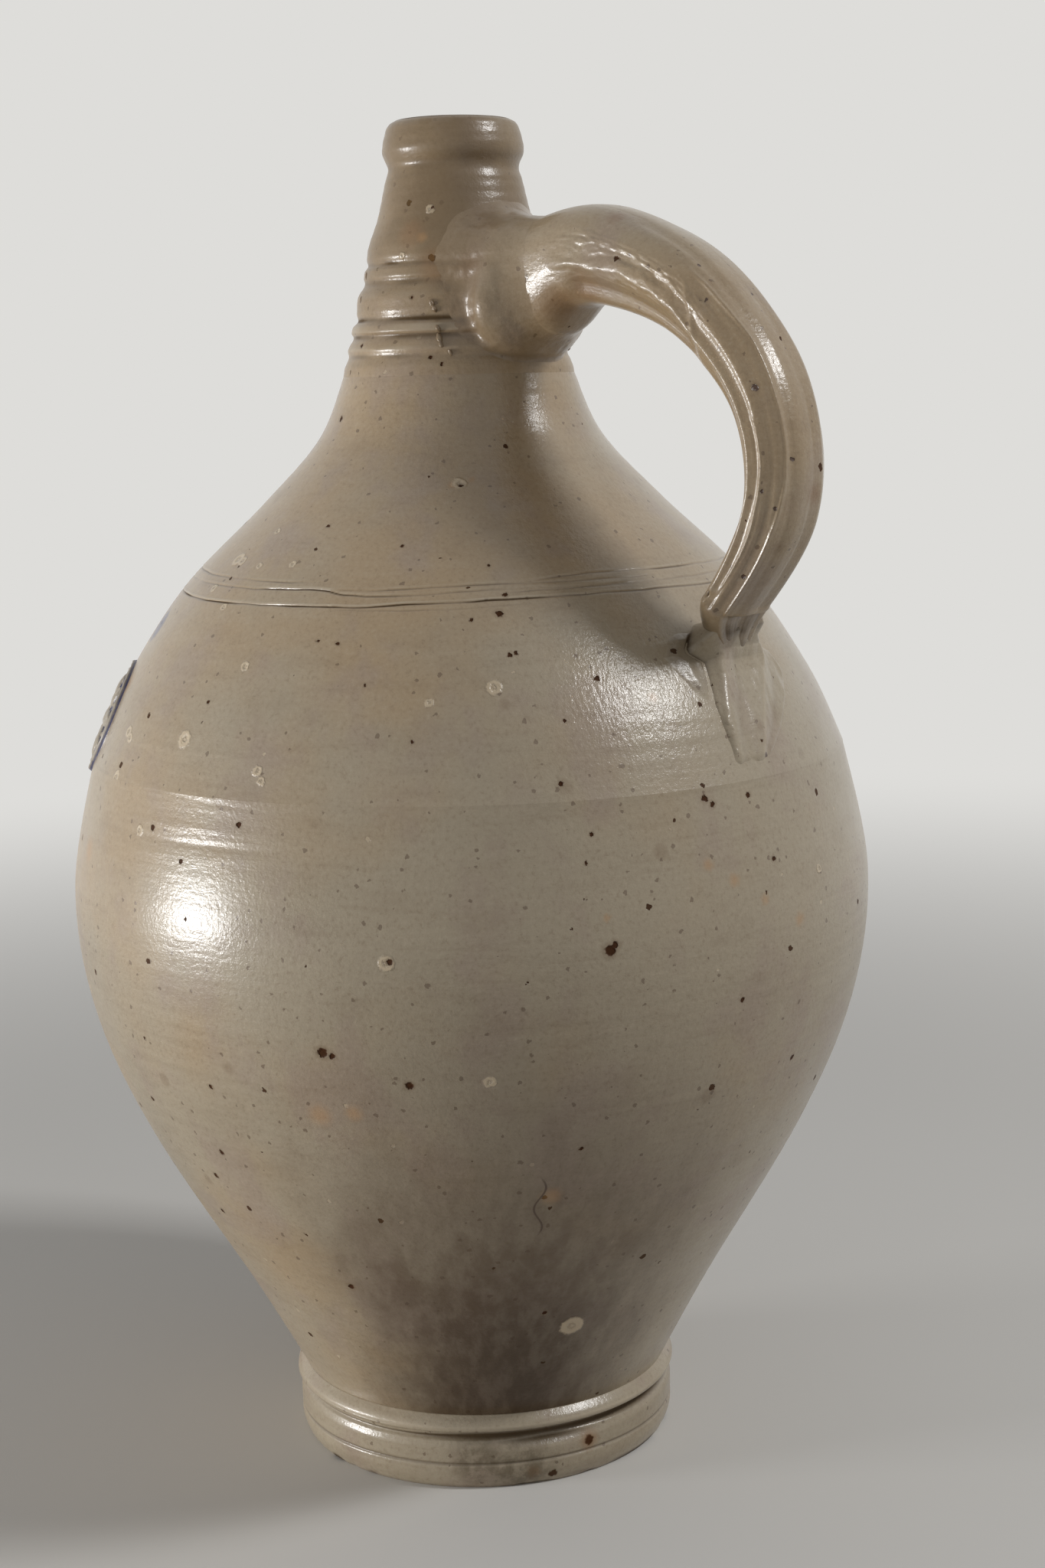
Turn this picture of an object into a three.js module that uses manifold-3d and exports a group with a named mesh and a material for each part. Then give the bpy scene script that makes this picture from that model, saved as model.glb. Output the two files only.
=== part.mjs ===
// A salt-glazed stoneware jug: a round belly on a turned foot, a tall ringed neck with a small
// collared mouth, one pulled strap handle and three rosettes pressed on round the front.
// Millimetres, +Z up. The origin is the middle of the base, on the surface it stands on. The
// handle lies along +X and the front of the jug faces -X.

import * as THREE from 'three';
import { mergeVertices } from 'three/addons/utils/BufferGeometryUtils.js';
import Module from 'manifold-3d';

const wasm = await Module();
wasm.setup();

// Clay thicknesses and joints
const WALL = 6;
const NECK_WALL = 6;
const LUTING_GAP = 0.3;

// Foot ring, from the base up
const FOOT_HEIGHT = 23;
const FOOT_BASE_RADIUS = 57.7;
const FOOT_ROLL_RADIUS = 58.9;
const FOOT_GROOVE_RADIUS = 57.4;
const FOOT_GROOVE_HEIGHT = 18;
const FOOT_RIDGE_RADIUS = 59.6;
const FOOT_LINE_HEIGHT = 7.5;
const FOOT_LINE_DEPTH = 0.6;
const FOOT_LINE_WIDTH = 2;
const FOOT_EDGE_ROUND = 1.6;
const FOOT_RING_WIDTH = 8;

// Lower body: heights count from the top of the foot
const LOWER_BODY_HEIGHT = 193;
const BODY_FOOT_RADIUS = 57.2;
const FLANK_HEIGHT = 30;
const FLANK_RADIUS = 73.2;
const HIP_HEIGHT = 80;
const HIP_RADIUS = 101.8;
const SWELL_HEIGHT = 118;
const SWELL_RADIUS = 117;
const BELLY_HEIGHT = 155;
const BELLY_RADIUS = 121.2;
const FLOOR_THICKNESS = 10;
const FLOOR_FLAT_RADIUS = 26;

// Upper body: heights count from the joint between the two halves
const UPPER_BODY_HEIGHT = 111;
const SEAM_RADIUS = 113.8;
const UPPER_BELLY_HEIGHT = 22;
const UPPER_BELLY_RADIUS = 103.7;
const SHOULDER_HEIGHT = 50;
const SHOULDER_RADIUS = 84.7;
const NECK_SLOPE_HEIGHT = 74;
const NECK_SLOPE_RADIUS = 60.1;
const NECK_SWEEP_HEIGHT = 93;
const NECK_SWEEP_RADIUS = 42.6;
const SHOULDER_LINE_COUNT = 3;
const SHOULDER_LINE_HEIGHT = 49.5;
const SHOULDER_LINE_PITCH = 3.1;
const SHOULDER_LINE_DEPTH = 0.7;
const SHOULDER_LINE_WIDTH = 1.4;

// Neck and mouth, from the joint with the shoulder up: turned rings, a plain throat, a collar
const NECK_FOOT_RADIUS = 34.7;
const RINGS_FOOT_RADIUS = 34.3;
const NECK_STEP_HEIGHT = 2.2;
const LOWEST_RING_HEIGHT = 3.8;
const NARROW_RING_HEIGHT = 5.2;
const WIDE_RING_HEIGHT = 11;
const NARROW_RINGS_BELOW_WIDE = 2;
const RING_GROOVE_DEPTH = 0.8;
const RING_GROOVE_FALL = 2.1;
const RING_GROOVE_RISE = 1.6;
const THROAT_FOOT_RADIUS = 26.5;
const LOWER_THROAT_HEIGHT = 12.2;
const THROAT_MIDDLE_RADIUS = 22.8;
const UPPER_THROAT_HEIGHT = 10.1;
const THROAT_TOP_RADIUS = 20.4;
const MOUTH_GROOVE_RISE = 3.3;
const MOUTH_GROOVE_RADIUS = 19.5;
const COLLAR_RISE = 5;
const COLLAR_RADIUS = 21.1;
const LIP_RISE = 8.7;
const LIP_RADIUS = 19.9;
const LIP_ROUND = 2.6;
const MOUTH_BORE_RADIUS = 13.8;

// Handle: a strap that starts almost level out of the neck, bends over, grows thinner all the way
// and comes down on the shoulder. Reaches count from the axis, rises and drops from the root.
const HANDLE_ROOT_HEIGHT = 30;
const HANDLE_ROOT_STANDOFF = 15;
const HANDLE_ROOT_WIDTH = 30;
const HANDLE_ROOT_THICKNESS = 28.5;
const HANDLE_CROWN_REACH = 63.3;
const HANDLE_CROWN_RISE = 1.3;
const HANDLE_CROWN_THICKNESS = 28.2;
const HANDLE_BEND_REACH = 94.6;
const HANDLE_BEND_DROP = 11.2;
const HANDLE_BEND_THICKNESS = 23.4;
const HANDLE_GRIP_REACH = 118.4;
const HANDLE_GRIP_DROP = 37.2;
const HANDLE_GRIP_THICKNESS = 18.1;
const HANDLE_RETURN_REACH = 121.5;
const HANDLE_RETURN_DROP = 68.9;
const HANDLE_RETURN_THICKNESS = 15.5;
const HANDLE_END_HEIGHT = 37;
const HANDLE_END_STANDOFF = 8.4;
const HANDLE_END_THICKNESS = 11.3;
const HANDLE_END_WIDTH = 26;
const STRAP_SQUARENESS = 2.5;
const STRAP_CHANNEL_DEPTH = 1.1;
const STRAP_CHANNEL_SPREAD = 6;
const STRAP_CHANNEL_WIDTH = 3.4;

// Clay pressed round the two ends of the handle
const ROOT_CLAY_HEIGHT = 55;
const ROOT_CLAY_WIDTH = 48;
const ROOT_CLAY_DROP = 12;
const ROOT_CLAY_INNER_REACH = 15;
const ROOT_CLAY_FLARE = 1.2;
const CLAY_LIP = 0.8;
const TAIL_BLOCK_FLARE = 4;
const TAIL_TIP_ABOVE_SEAM = 2.5;
const TAIL_TIP_WIDTH = 12;
const TAIL_TIP_THICKNESS = 1.6;
const TAIL_TOP_WIDTH = 28;
const TAIL_TOP_THICKNESS = 6.5;
const TAIL_WIDEST = 38;
const TAIL_WIDEST_SHARE = 0.25;
const TAIL_TOP_RISE = 4;
const TAIL_ARCH = 0.7;

// Rosettes pressed on from one mould
const ROSETTE_RADIUS = 18.5;
const ROSETTE_MIDDLE_ABOVE_SEAM = 12.5;
const ROSETTE_SIDE_ANGLE = 51;
const ROSETTE_RIM_WIDTH = 2.2;
const ROSETTE_RIM_RELIEF = 2.1;
const ROSETTE_FIELD_RELIEF = 1.1;
const ROSETTE_PETAL_RELIEF = 1;
const ROSETTE_BOSS_RADIUS = 4.6;
const ROSETTE_BOSS_RELIEF = 2.6;
const ROSETTE_STEP = 0.4;
const ROSETTE_PETALS = 8;

// Facets and steps along the curves
const BODY_FACETS = 64;
const NECK_FACETS = 48;
const OUTLINE_STEPS = 15;
const INSIDE_STEPS = 10;
const BOWL_STEPS = 5;
const THROAT_STEPS = 4;
const BORE_STEPS = 6;
const ROSETTE_SPOKES = 24;
const ROSETTE_BACK_RINGS = 4;
const STRAP_SIDES = 24;
const STRAP_STEPS = 30;
const ROOT_CLAY_STEPS = 6;
const TAIL_STEPS = 8;
const TAIL_ARCH_STEPS = 12;

// How deep a pressed-on piece starts below the surface, before it is cut back to clear it
const BURIED = 4;

// The stretch of an outline, each way, that its slope is taken over
const SLOPE_REACH = 2;

const seamHeight = FOOT_HEIGHT + LOWER_BODY_HEIGHT;
const neckJoint = seamHeight + UPPER_BODY_HEIGHT;

// The rings' grooves, as heights above the neck's joint: two narrow rings over the lowest one,
// then the wide ring and one more narrow ring.
const ringHeights = [
  ...Array(NARROW_RINGS_BELOW_WIDE).fill(NARROW_RING_HEIGHT),
  WIDE_RING_HEIGHT,
  NARROW_RING_HEIGHT,
];
const grooveHeights = [NECK_STEP_HEIGHT + LOWEST_RING_HEIGHT];
for (const height of ringHeights) {
  grooveHeights.push(grooveHeights.at(-1) + height);
}
const throatFoot = grooveHeights.at(-1) + RING_GROOVE_RISE;
const throatMiddle = throatFoot + LOWER_THROAT_HEIGHT;
const throatTop = throatMiddle + UPPER_THROAT_HEIGHT;
const mouthGroove = throatTop + MOUTH_GROOVE_RISE;
const collarHeight = mouthGroove + COLLAR_RISE;
const rimHeight = neckJoint + collarHeight + LIP_RISE;
const footBore = FOOT_BASE_RADIUS - FOOT_RING_WIDTH;
const spigotRadius = footBore - LUTING_GAP;

const point = (radius, height) => new THREE.Vector2(radius, height);

function salt(colour, roughness = 0.45) {
  return new THREE.MeshStandardMaterial({ color: colour, roughness, metalness: 0 });
}

function smooth(stations, steps) {
  return new THREE.SplineCurve(stations).getPoints(steps);
}

// The radius of an outline at a height, between its points.
function radiusAt(outline, height) {
  for (let i = 1; i < outline.length; i++) {
    const below = outline[i - 1];
    const above = outline[i];
    if (height >= below.y && height <= above.y) {
      const share = (height - below.y) / (above.y - below.y);
      return below.x + share * (above.x - below.x);
    }
  }
  return height < outline[0].y ? outline[0].x : outline[outline.length - 1].x;
}

// The outward normal of an outline at a height, as (radial, up).
function normalAt(outline, height) {
  const above = radiusAt(outline, height + SLOPE_REACH);
  const below = radiusAt(outline, height - SLOPE_REACH);
  return point(2 * SLOPE_REACH, below - above).normalize();
}

// An outline moved inwards, square to itself.
function inset(outline, thickness) {
  return outline.slice(1, -1).map((here, i) => {
    const along = outline[i + 2].clone().sub(outline[i]).normalize();
    return point(here.x - along.y * thickness, here.y + along.x * thickness);
  });
}

function signedVolume(geometry) {
  const spots = geometry.attributes.position;
  const index = geometry.index.array;
  const [a, b, c] = [new THREE.Vector3(), new THREE.Vector3(), new THREE.Vector3()];
  let total = 0;
  for (let i = 0; i < index.length; i += 3) {
    a.fromBufferAttribute(spots, index[i]);
    b.fromBufferAttribute(spots, index[i + 1]);
    c.fromBufferAttribute(spots, index[i + 2]);
    total += a.dot(b.cross(c)) / 6;
  }
  return total;
}

// One closed mesh with shared vertices, no collapsed triangles and its faces pointing out.
function closed(geometry) {
  geometry.deleteAttribute('normal');
  geometry.deleteAttribute('uv');
  const merged = mergeVertices(geometry, 1e-4);
  const kept = [];
  const index = merged.index.array;
  for (let i = 0; i < index.length; i += 3) {
    const [a, b, c] = [index[i], index[i + 1], index[i + 2]];
    if (a !== b && b !== c && c !== a) kept.push(a, b, c);
  }
  merged.setIndex(kept);
  if (signedVolume(merged) < 0) {
    for (let i = 0; i < kept.length; i += 3) {
      [kept[i + 1], kept[i + 2]] = [kept[i + 2], kept[i + 1]];
    }
    merged.setIndex(kept);
  }
  return merged;
}

// A pot turned on the wheel from the outline of its section.
function turned(outline, facets) {
  const geometry = new THREE.LatheGeometry(outline, facets);
  geometry.rotateX(Math.PI / 2);
  return closed(geometry);
}

// A skin over sections with equally many points, closed at both ends.
function loft(sections) {
  const sides = sections[0].length;
  const spots = sections.flat();
  const index = [];
  for (let row = 0; row < sections.length - 1; row++) {
    for (let i = 0; i < sides; i++) {
      const next = (i + 1) % sides;
      const [a, b] = [row * sides + i, row * sides + next];
      index.push(a, b, b + sides, a, b + sides, a + sides);
    }
  }
  const last = (sections.length - 1) * sides;
  const ends = [sections[0], sections[sections.length - 1]];
  for (const end of ends) {
    const centre = end.reduce((sum, spot) => sum.add(spot), new THREE.Vector3());
    spots.push(centre.divideScalar(sides));
  }
  for (let i = 0; i < sides; i++) {
    const next = (i + 1) % sides;
    index.push(spots.length - 2, next, i);
    index.push(spots.length - 1, last + i, last + next);
  }
  const geometry = new THREE.BufferGeometry().setFromPoints(spots);
  geometry.setIndex(index);
  return closed(geometry);
}

function toSolid(geometry) {
  const vertProperties = new Float32Array(geometry.attributes.position.array);
  const triVerts = new Uint32Array(geometry.index.array);
  return new wasm.Manifold(new wasm.Mesh({ numProp: 3, vertProperties, triVerts }));
}

function fromSolid(solid) {
  const mesh = solid.getMesh();
  const geometry = new THREE.BufferGeometry();
  const positions = new Float32Array(mesh.vertProperties);
  geometry.setAttribute('position', new THREE.BufferAttribute(positions, 3));
  geometry.setIndex([...mesh.triVerts]);
  return closed(geometry);
}

// The space that a turned pot takes up with its inside filled, grown by the luting gap.
function clearanceOf(outline, facets) {
  const grown = outline.map((spot) => point(spot.x + LUTING_GAP, spot.y));
  const low = outline[0].y;
  const high = outline[outline.length - 1].y;
  return toSolid(turned([point(0, low), ...grown, point(0, high)], facets));
}

// Outer outline of the lower body, from the foot ring to the joint at the upper belly.
const lowerStations = [
  point(BODY_FOOT_RADIUS, FOOT_HEIGHT),
  point(FLANK_RADIUS, FOOT_HEIGHT + FLANK_HEIGHT),
  point(HIP_RADIUS, FOOT_HEIGHT + HIP_HEIGHT),
  point(SWELL_RADIUS, FOOT_HEIGHT + SWELL_HEIGHT),
  point(BELLY_RADIUS, FOOT_HEIGHT + BELLY_HEIGHT),
  point(SEAM_RADIUS, seamHeight),
];
const lowerOutline = smooth(lowerStations, OUTLINE_STEPS);

// Outer outline of the upper body, from that joint to the foot of the neck.
const upperStations = [
  point(SEAM_RADIUS, seamHeight),
  point(UPPER_BELLY_RADIUS, seamHeight + UPPER_BELLY_HEIGHT),
  point(SHOULDER_RADIUS, seamHeight + SHOULDER_HEIGHT),
  point(NECK_SLOPE_RADIUS, seamHeight + NECK_SLOPE_HEIGHT),
  point(NECK_SWEEP_RADIUS, seamHeight + NECK_SWEEP_HEIGHT),
  point(NECK_FOOT_RADIUS, neckJoint),
];
const shoulderCurve = smooth(upperStations, OUTLINE_STEPS);

// The shoulder's outline with its fine turned lines cut in.
function withLines(curve) {
  const lines = [];
  for (let i = 0; i < SHOULDER_LINE_COUNT; i++) {
    lines.push(seamHeight + SHOULDER_LINE_HEIGHT + i * SHOULDER_LINE_PITCH);
  }
  const half = SHOULDER_LINE_WIDTH / 2;
  const clear = curve.filter((spot) => lines.every((line) => Math.abs(spot.y - line) > half));
  const cut = lines.flatMap((line) => [
    point(radiusAt(curve, line - half), line - half),
    point(radiusAt(curve, line) - SHOULDER_LINE_DEPTH, line),
    point(radiusAt(curve, line + half), line + half),
  ]);
  return [...clear, ...cut].sort((a, b) => a.y - b.y);
}

const upperOutline = withLines(shoulderCurve);

// The radius of the line that the neck's rings taper along.
function ringRadius(height) {
  const share = (height - NECK_STEP_HEIGHT) / (throatFoot - NECK_STEP_HEIGHT);
  return THREE.MathUtils.lerp(RINGS_FOOT_RADIUS, THROAT_FOOT_RADIUS, share);
}

// Outer outline of the neck: rings that shrink upwards, a plain throat and the mouth's collar.
function neckProfile() {
  const at = (radius, height) => point(radius, neckJoint + height);
  const onTaper = (height) => at(ringRadius(height), height);
  const rings = grooveHeights.slice(0, -1).flatMap((groove) => [
    onTaper(groove - RING_GROOVE_FALL),
    at(ringRadius(groove) - RING_GROOVE_DEPTH, groove),
    onTaper(groove + RING_GROOVE_RISE),
  ]);
  const lastGroove = grooveHeights.at(-1);
  const throat = smooth(
    [
      at(THROAT_FOOT_RADIUS, throatFoot),
      at(THROAT_MIDDLE_RADIUS, throatMiddle),
      at(THROAT_TOP_RADIUS, throatTop),
    ],
    THROAT_STEPS,
  );
  return [
    at(NECK_FOOT_RADIUS, 0),
    onTaper(NECK_STEP_HEIGHT),
    ...rings,
    onTaper(lastGroove - RING_GROOVE_FALL),
    at(ringRadius(lastGroove) - RING_GROOVE_DEPTH, lastGroove),
    ...throat,
    at(MOUTH_GROOVE_RADIUS, mouthGroove),
    at(COLLAR_RADIUS, collarHeight),
    point(LIP_RADIUS, rimHeight - LIP_ROUND),
  ];
}

const neckOutline = neckProfile();
const jugOutline = [...lowerOutline, ...upperOutline.slice(1), ...neckOutline.slice(1)];
const bellyCurve = [...lowerOutline, ...shoulderCurve.slice(1)];

// The coil turned round the base: a rolled lower part with one fine line, a groove and a ridge.
function footRing() {
  const halfLine = FOOT_LINE_WIDTH / 2;
  const rollTop = (FOOT_GROOVE_HEIGHT + FOOT_LINE_HEIGHT) / 2 + halfLine;
  const ridge = (FOOT_GROOVE_HEIGHT + FOOT_HEIGHT) / 2;
  const outline = [
    point(footBore, 0),
    point(FOOT_BASE_RADIUS - FOOT_EDGE_ROUND, 0),
    point(FOOT_BASE_RADIUS, FOOT_EDGE_ROUND),
    point(FOOT_ROLL_RADIUS, FOOT_LINE_HEIGHT - halfLine),
    point(FOOT_ROLL_RADIUS - FOOT_LINE_DEPTH, FOOT_LINE_HEIGHT),
    point(FOOT_ROLL_RADIUS, FOOT_LINE_HEIGHT + halfLine),
    point(FOOT_ROLL_RADIUS, rollTop),
    point(FOOT_GROOVE_RADIUS, FOOT_GROOVE_HEIGHT),
    point(FOOT_RIDGE_RADIUS, ridge),
    point(BODY_FOOT_RADIUS, FOOT_HEIGHT),
    point(footBore, FOOT_HEIGHT),
    point(footBore, 0),
  ];
  return turned(outline, BODY_FACETS);
}

// The thrown lower half with its floor, which reaches down inside the foot ring to the base.
function lowerBody() {
  const within = (spot) => spot.y < seamHeight - WALL / 2;
  const wall = inset(smooth(lowerStations, INSIDE_STEPS), WALL).filter(within);
  const bowl = new THREE.QuadraticBezierCurve(
    point(FLOOR_FLAT_RADIUS, FLOOR_THICKNESS),
    point(spigotRadius - 2 * WALL, FLOOR_THICKNESS + WALL),
    wall[0],
  );
  const outline = [
    point(0, 0),
    point(spigotRadius, 0),
    point(spigotRadius, FOOT_HEIGHT),
    ...lowerOutline,
    point(SEAM_RADIUS - WALL, seamHeight),
    ...wall.reverse(),
    ...bowl.getPoints(BOWL_STEPS).reverse().slice(1),
    point(0, FLOOR_THICKNESS),
  ];
  return turned(outline, BODY_FACETS);
}

// The thrown upper half: the round shoulder, drawn in to the foot of the neck.
function upperBody() {
  const margin = WALL / 2;
  const within = (spot) => spot.y > seamHeight + margin && spot.y < neckJoint - margin;
  const wall = inset(smooth(upperStations, INSIDE_STEPS), WALL).filter(within);
  const outline = [
    point(SEAM_RADIUS - WALL, seamHeight),
    ...upperOutline,
    point(NECK_FOOT_RADIUS - NECK_WALL, neckJoint),
    ...wall.reverse(),
    point(SEAM_RADIUS - WALL, seamHeight),
  ];
  return turned(outline, BODY_FACETS);
}

// The neck, thrown as one length with its rings, throat and collar, and open right through.
function neck() {
  const bore = smooth(
    [
      point(NECK_FOOT_RADIUS - NECK_WALL, neckJoint),
      point(THROAT_FOOT_RADIUS - NECK_WALL, neckJoint + throatFoot),
      point(THROAT_MIDDLE_RADIUS - NECK_WALL, neckJoint + throatMiddle),
      point(MOUTH_BORE_RADIUS, neckJoint + mouthGroove),
    ],
    BORE_STEPS,
  );
  const outline = [
    ...neckOutline,
    point(LIP_RADIUS - LIP_ROUND / 3, rimHeight - LIP_ROUND / 3),
    point(LIP_RADIUS - LIP_ROUND, rimHeight),
    point(MOUTH_BORE_RADIUS + LIP_ROUND / 2, rimHeight),
    point(MOUTH_BORE_RADIUS, rimHeight - LIP_ROUND),
    ...bore.reverse(),
    neckOutline[0].clone(),
  ];
  return turned(outline, NECK_FACETS);
}

// The strap's route in the plane of the handle, as (reach from the axis, height), and how thick
// it is along it.
const rootHeight = neckJoint + HANDLE_ROOT_HEIGHT;
const rootReach = radiusAt(neckOutline, rootHeight) + HANDLE_ROOT_STANDOFF;
const endOnShoulder = seamHeight + HANDLE_END_HEIGHT;
const endNormal = normalAt(shoulderCurve, endOnShoulder);
const strapEnd = point(radiusAt(shoulderCurve, endOnShoulder), endOnShoulder)
  .add(endNormal.clone().multiplyScalar(HANDLE_END_STANDOFF));

const lengthwise = [
  [point(rootReach, rootHeight), HANDLE_ROOT_THICKNESS],
  [point(HANDLE_CROWN_REACH, rootHeight + HANDLE_CROWN_RISE), HANDLE_CROWN_THICKNESS],
  [point(HANDLE_BEND_REACH, rootHeight - HANDLE_BEND_DROP), HANDLE_BEND_THICKNESS],
  [point(HANDLE_GRIP_REACH, rootHeight - HANDLE_GRIP_DROP), HANDLE_GRIP_THICKNESS],
  [point(HANDLE_RETURN_REACH, rootHeight - HANDLE_RETURN_DROP), HANDLE_RETURN_THICKNESS],
  [strapEnd, HANDLE_END_THICKNESS],
];
const strapRoute = new THREE.SplineCurve(lengthwise.map(([station]) => station));
const strapThickness = new THREE.SplineCurve(
  lengthwise.map(([, thickness], i) => point(i, thickness)),
);
const rootDirection = strapRoute.getTangent(0);
const endDirection = strapRoute.getTangent(1);

// The strap's section: a squared oval with two shallow channels along its outer face. Across is
// along Y, and out is away from the loop.
function strapSection(centre, along, width, thickness) {
  const out = new THREE.Vector3(-along.y, 0, along.x);
  const spots = [];
  for (let i = 0; i < STRAP_SIDES; i++) {
    const turn = (2 * Math.PI * i) / STRAP_SIDES;
    const squared = (value) => Math.sign(value) * Math.abs(value) ** (2 / STRAP_SQUARENESS);
    const across = squared(Math.cos(turn)) * (width / 2);
    let outward = squared(Math.sin(turn)) * (thickness / 2);
    if (outward > 0) {
      const offCentre = (Math.abs(across) - STRAP_CHANNEL_SPREAD) / STRAP_CHANNEL_WIDTH;
      outward -= STRAP_CHANNEL_DEPTH * Math.exp(-(offCentre ** 2)) * Math.sin(turn);
    }
    const spot = new THREE.Vector3(centre.x, across, centre.y);
    spots.push(spot.addScaledVector(out, outward));
  }
  return spots;
}

function handle() {
  const sections = [];
  for (let i = 0; i <= STRAP_STEPS; i++) {
    const share = i / STRAP_STEPS;
    const width = THREE.MathUtils.lerp(HANDLE_ROOT_WIDTH, HANDLE_END_WIDTH, share);
    const thickness = strapThickness.getPoint(share).y;
    const centre = strapRoute.getPoint(share);
    sections.push(strapSection(centre, strapRoute.getTangent(share), width, thickness));
  }
  return loft(sections);
}

// The clay wiped round the handle's root: it spreads from the strap's section onto the neck.
function rootClay() {
  const sections = [];
  const level = point(1, 0);
  const start = lengthwise[0][0].clone().addScaledVector(rootDirection, -LUTING_GAP);
  for (let i = 0; i <= ROOT_CLAY_STEPS; i++) {
    const share = i / ROOT_CLAY_STEPS;
    const flare = share ** ROOT_CLAY_FLARE;
    const centre = point(
      THREE.MathUtils.lerp(start.x, ROOT_CLAY_INNER_REACH, share),
      start.y - ROOT_CLAY_DROP * flare,
    );
    const width = THREE.MathUtils.lerp(HANDLE_ROOT_WIDTH + CLAY_LIP, ROOT_CLAY_WIDTH, flare);
    const height = THREE.MathUtils.lerp(HANDLE_ROOT_THICKNESS + CLAY_LIP, ROOT_CLAY_HEIGHT, flare);
    const along = rootDirection.clone().lerp(level, share).normalize();
    sections.push(strapSection(centre, along, width, height));
  }
  const clay = toSolid(loft(sections));
  return fromSolid(clay.subtract(clearanceOf(jugOutline, NECK_FACETS)));
}

// One section of the tongue: a low arch that follows the shoulder round.
function tongueSection(height, width, thick) {
  const radius = radiusAt(shoulderCurve, height);
  const normal = normalAt(shoulderCurve, height);
  const spots = [];
  const place = (across, lift) => {
    const angle = across / radius;
    const reach = radius + normal.x * lift;
    const spot = new THREE.Vector3(Math.cos(angle), Math.sin(angle), 0).multiplyScalar(reach);
    spot.z = height + normal.y * lift;
    spots.push(spot);
  };
  for (let i = 0; i <= TAIL_ARCH_STEPS; i++) {
    const turn = (Math.PI * i) / TAIL_ARCH_STEPS;
    place((Math.cos(turn) * width) / 2, thick * Math.sin(turn) ** TAIL_ARCH);
  }
  place(-width / 2, -BURIED);
  place(0, -BURIED);
  place(width / 2, -BURIED);
  return spots;
}

// The width of the tongue at a share of its length down from the strap: it spreads, then tapers.
function tongueWidth(share) {
  if (share < TAIL_WIDEST_SHARE) {
    return THREE.MathUtils.lerp(TAIL_TOP_WIDTH, TAIL_WIDEST, share / TAIL_WIDEST_SHARE);
  }
  const below = (share - TAIL_WIDEST_SHARE) / (1 - TAIL_WIDEST_SHARE);
  return THREE.MathUtils.lerp(TAIL_WIDEST, TAIL_TIP_WIDTH, below);
}

// The clay under the strap's lower end: a block that meets the strap and a tongue drawn down
// over the shoulder by the thumb. It ends above the joint between the two halves.
function tailClay() {
  const face = strapEnd.clone().addScaledVector(endDirection, LUTING_GAP);
  const block = [0, 1].map((step) => {
    const grown = CLAY_LIP + step * TAIL_BLOCK_FLARE;
    const centre = face.clone().addScaledVector(endDirection, step * (HANDLE_END_STANDOFF + BURIED));
    const width = HANDLE_END_WIDTH + grown;
    return strapSection(centre, endDirection, width, HANDLE_END_THICKNESS + grown);
  });
  const tip = seamHeight + TAIL_TIP_ABOVE_SEAM;
  const tongue = [];
  for (let i = 0; i <= TAIL_STEPS; i++) {
    const share = i / TAIL_STEPS;
    const height = THREE.MathUtils.lerp(endOnShoulder + TAIL_TOP_RISE, tip, share);
    const thick = THREE.MathUtils.lerp(TAIL_TOP_THICKNESS, TAIL_TIP_THICKNESS, share);
    tongue.push(tongueSection(height, tongueWidth(share), thick));
  }
  const clay = toSolid(loft(block)).add(toSolid(loft(tongue)));
  const under = clearanceOf(jugOutline, BODY_FACETS);
  return fromSolid(clay.subtract(beyondStrapEnd(face)).subtract(under));
}

// The space on the strap's side of the face where the tail clay meets it.
function beyondStrapEnd(face) {
  const size = BELLY_RADIUS;
  const box = new THREE.BoxGeometry(size, size, size);
  box.translate(0, 0, size / 2);
  const upright = new THREE.Vector3(0, 0, 1);
  const back = new THREE.Vector3(-endDirection.x, 0, -endDirection.y);
  box.applyQuaternion(new THREE.Quaternion().setFromUnitVectors(upright, back));
  box.translate(face.x, 0, face.y);
  return toSolid(closed(box));
}

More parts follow.
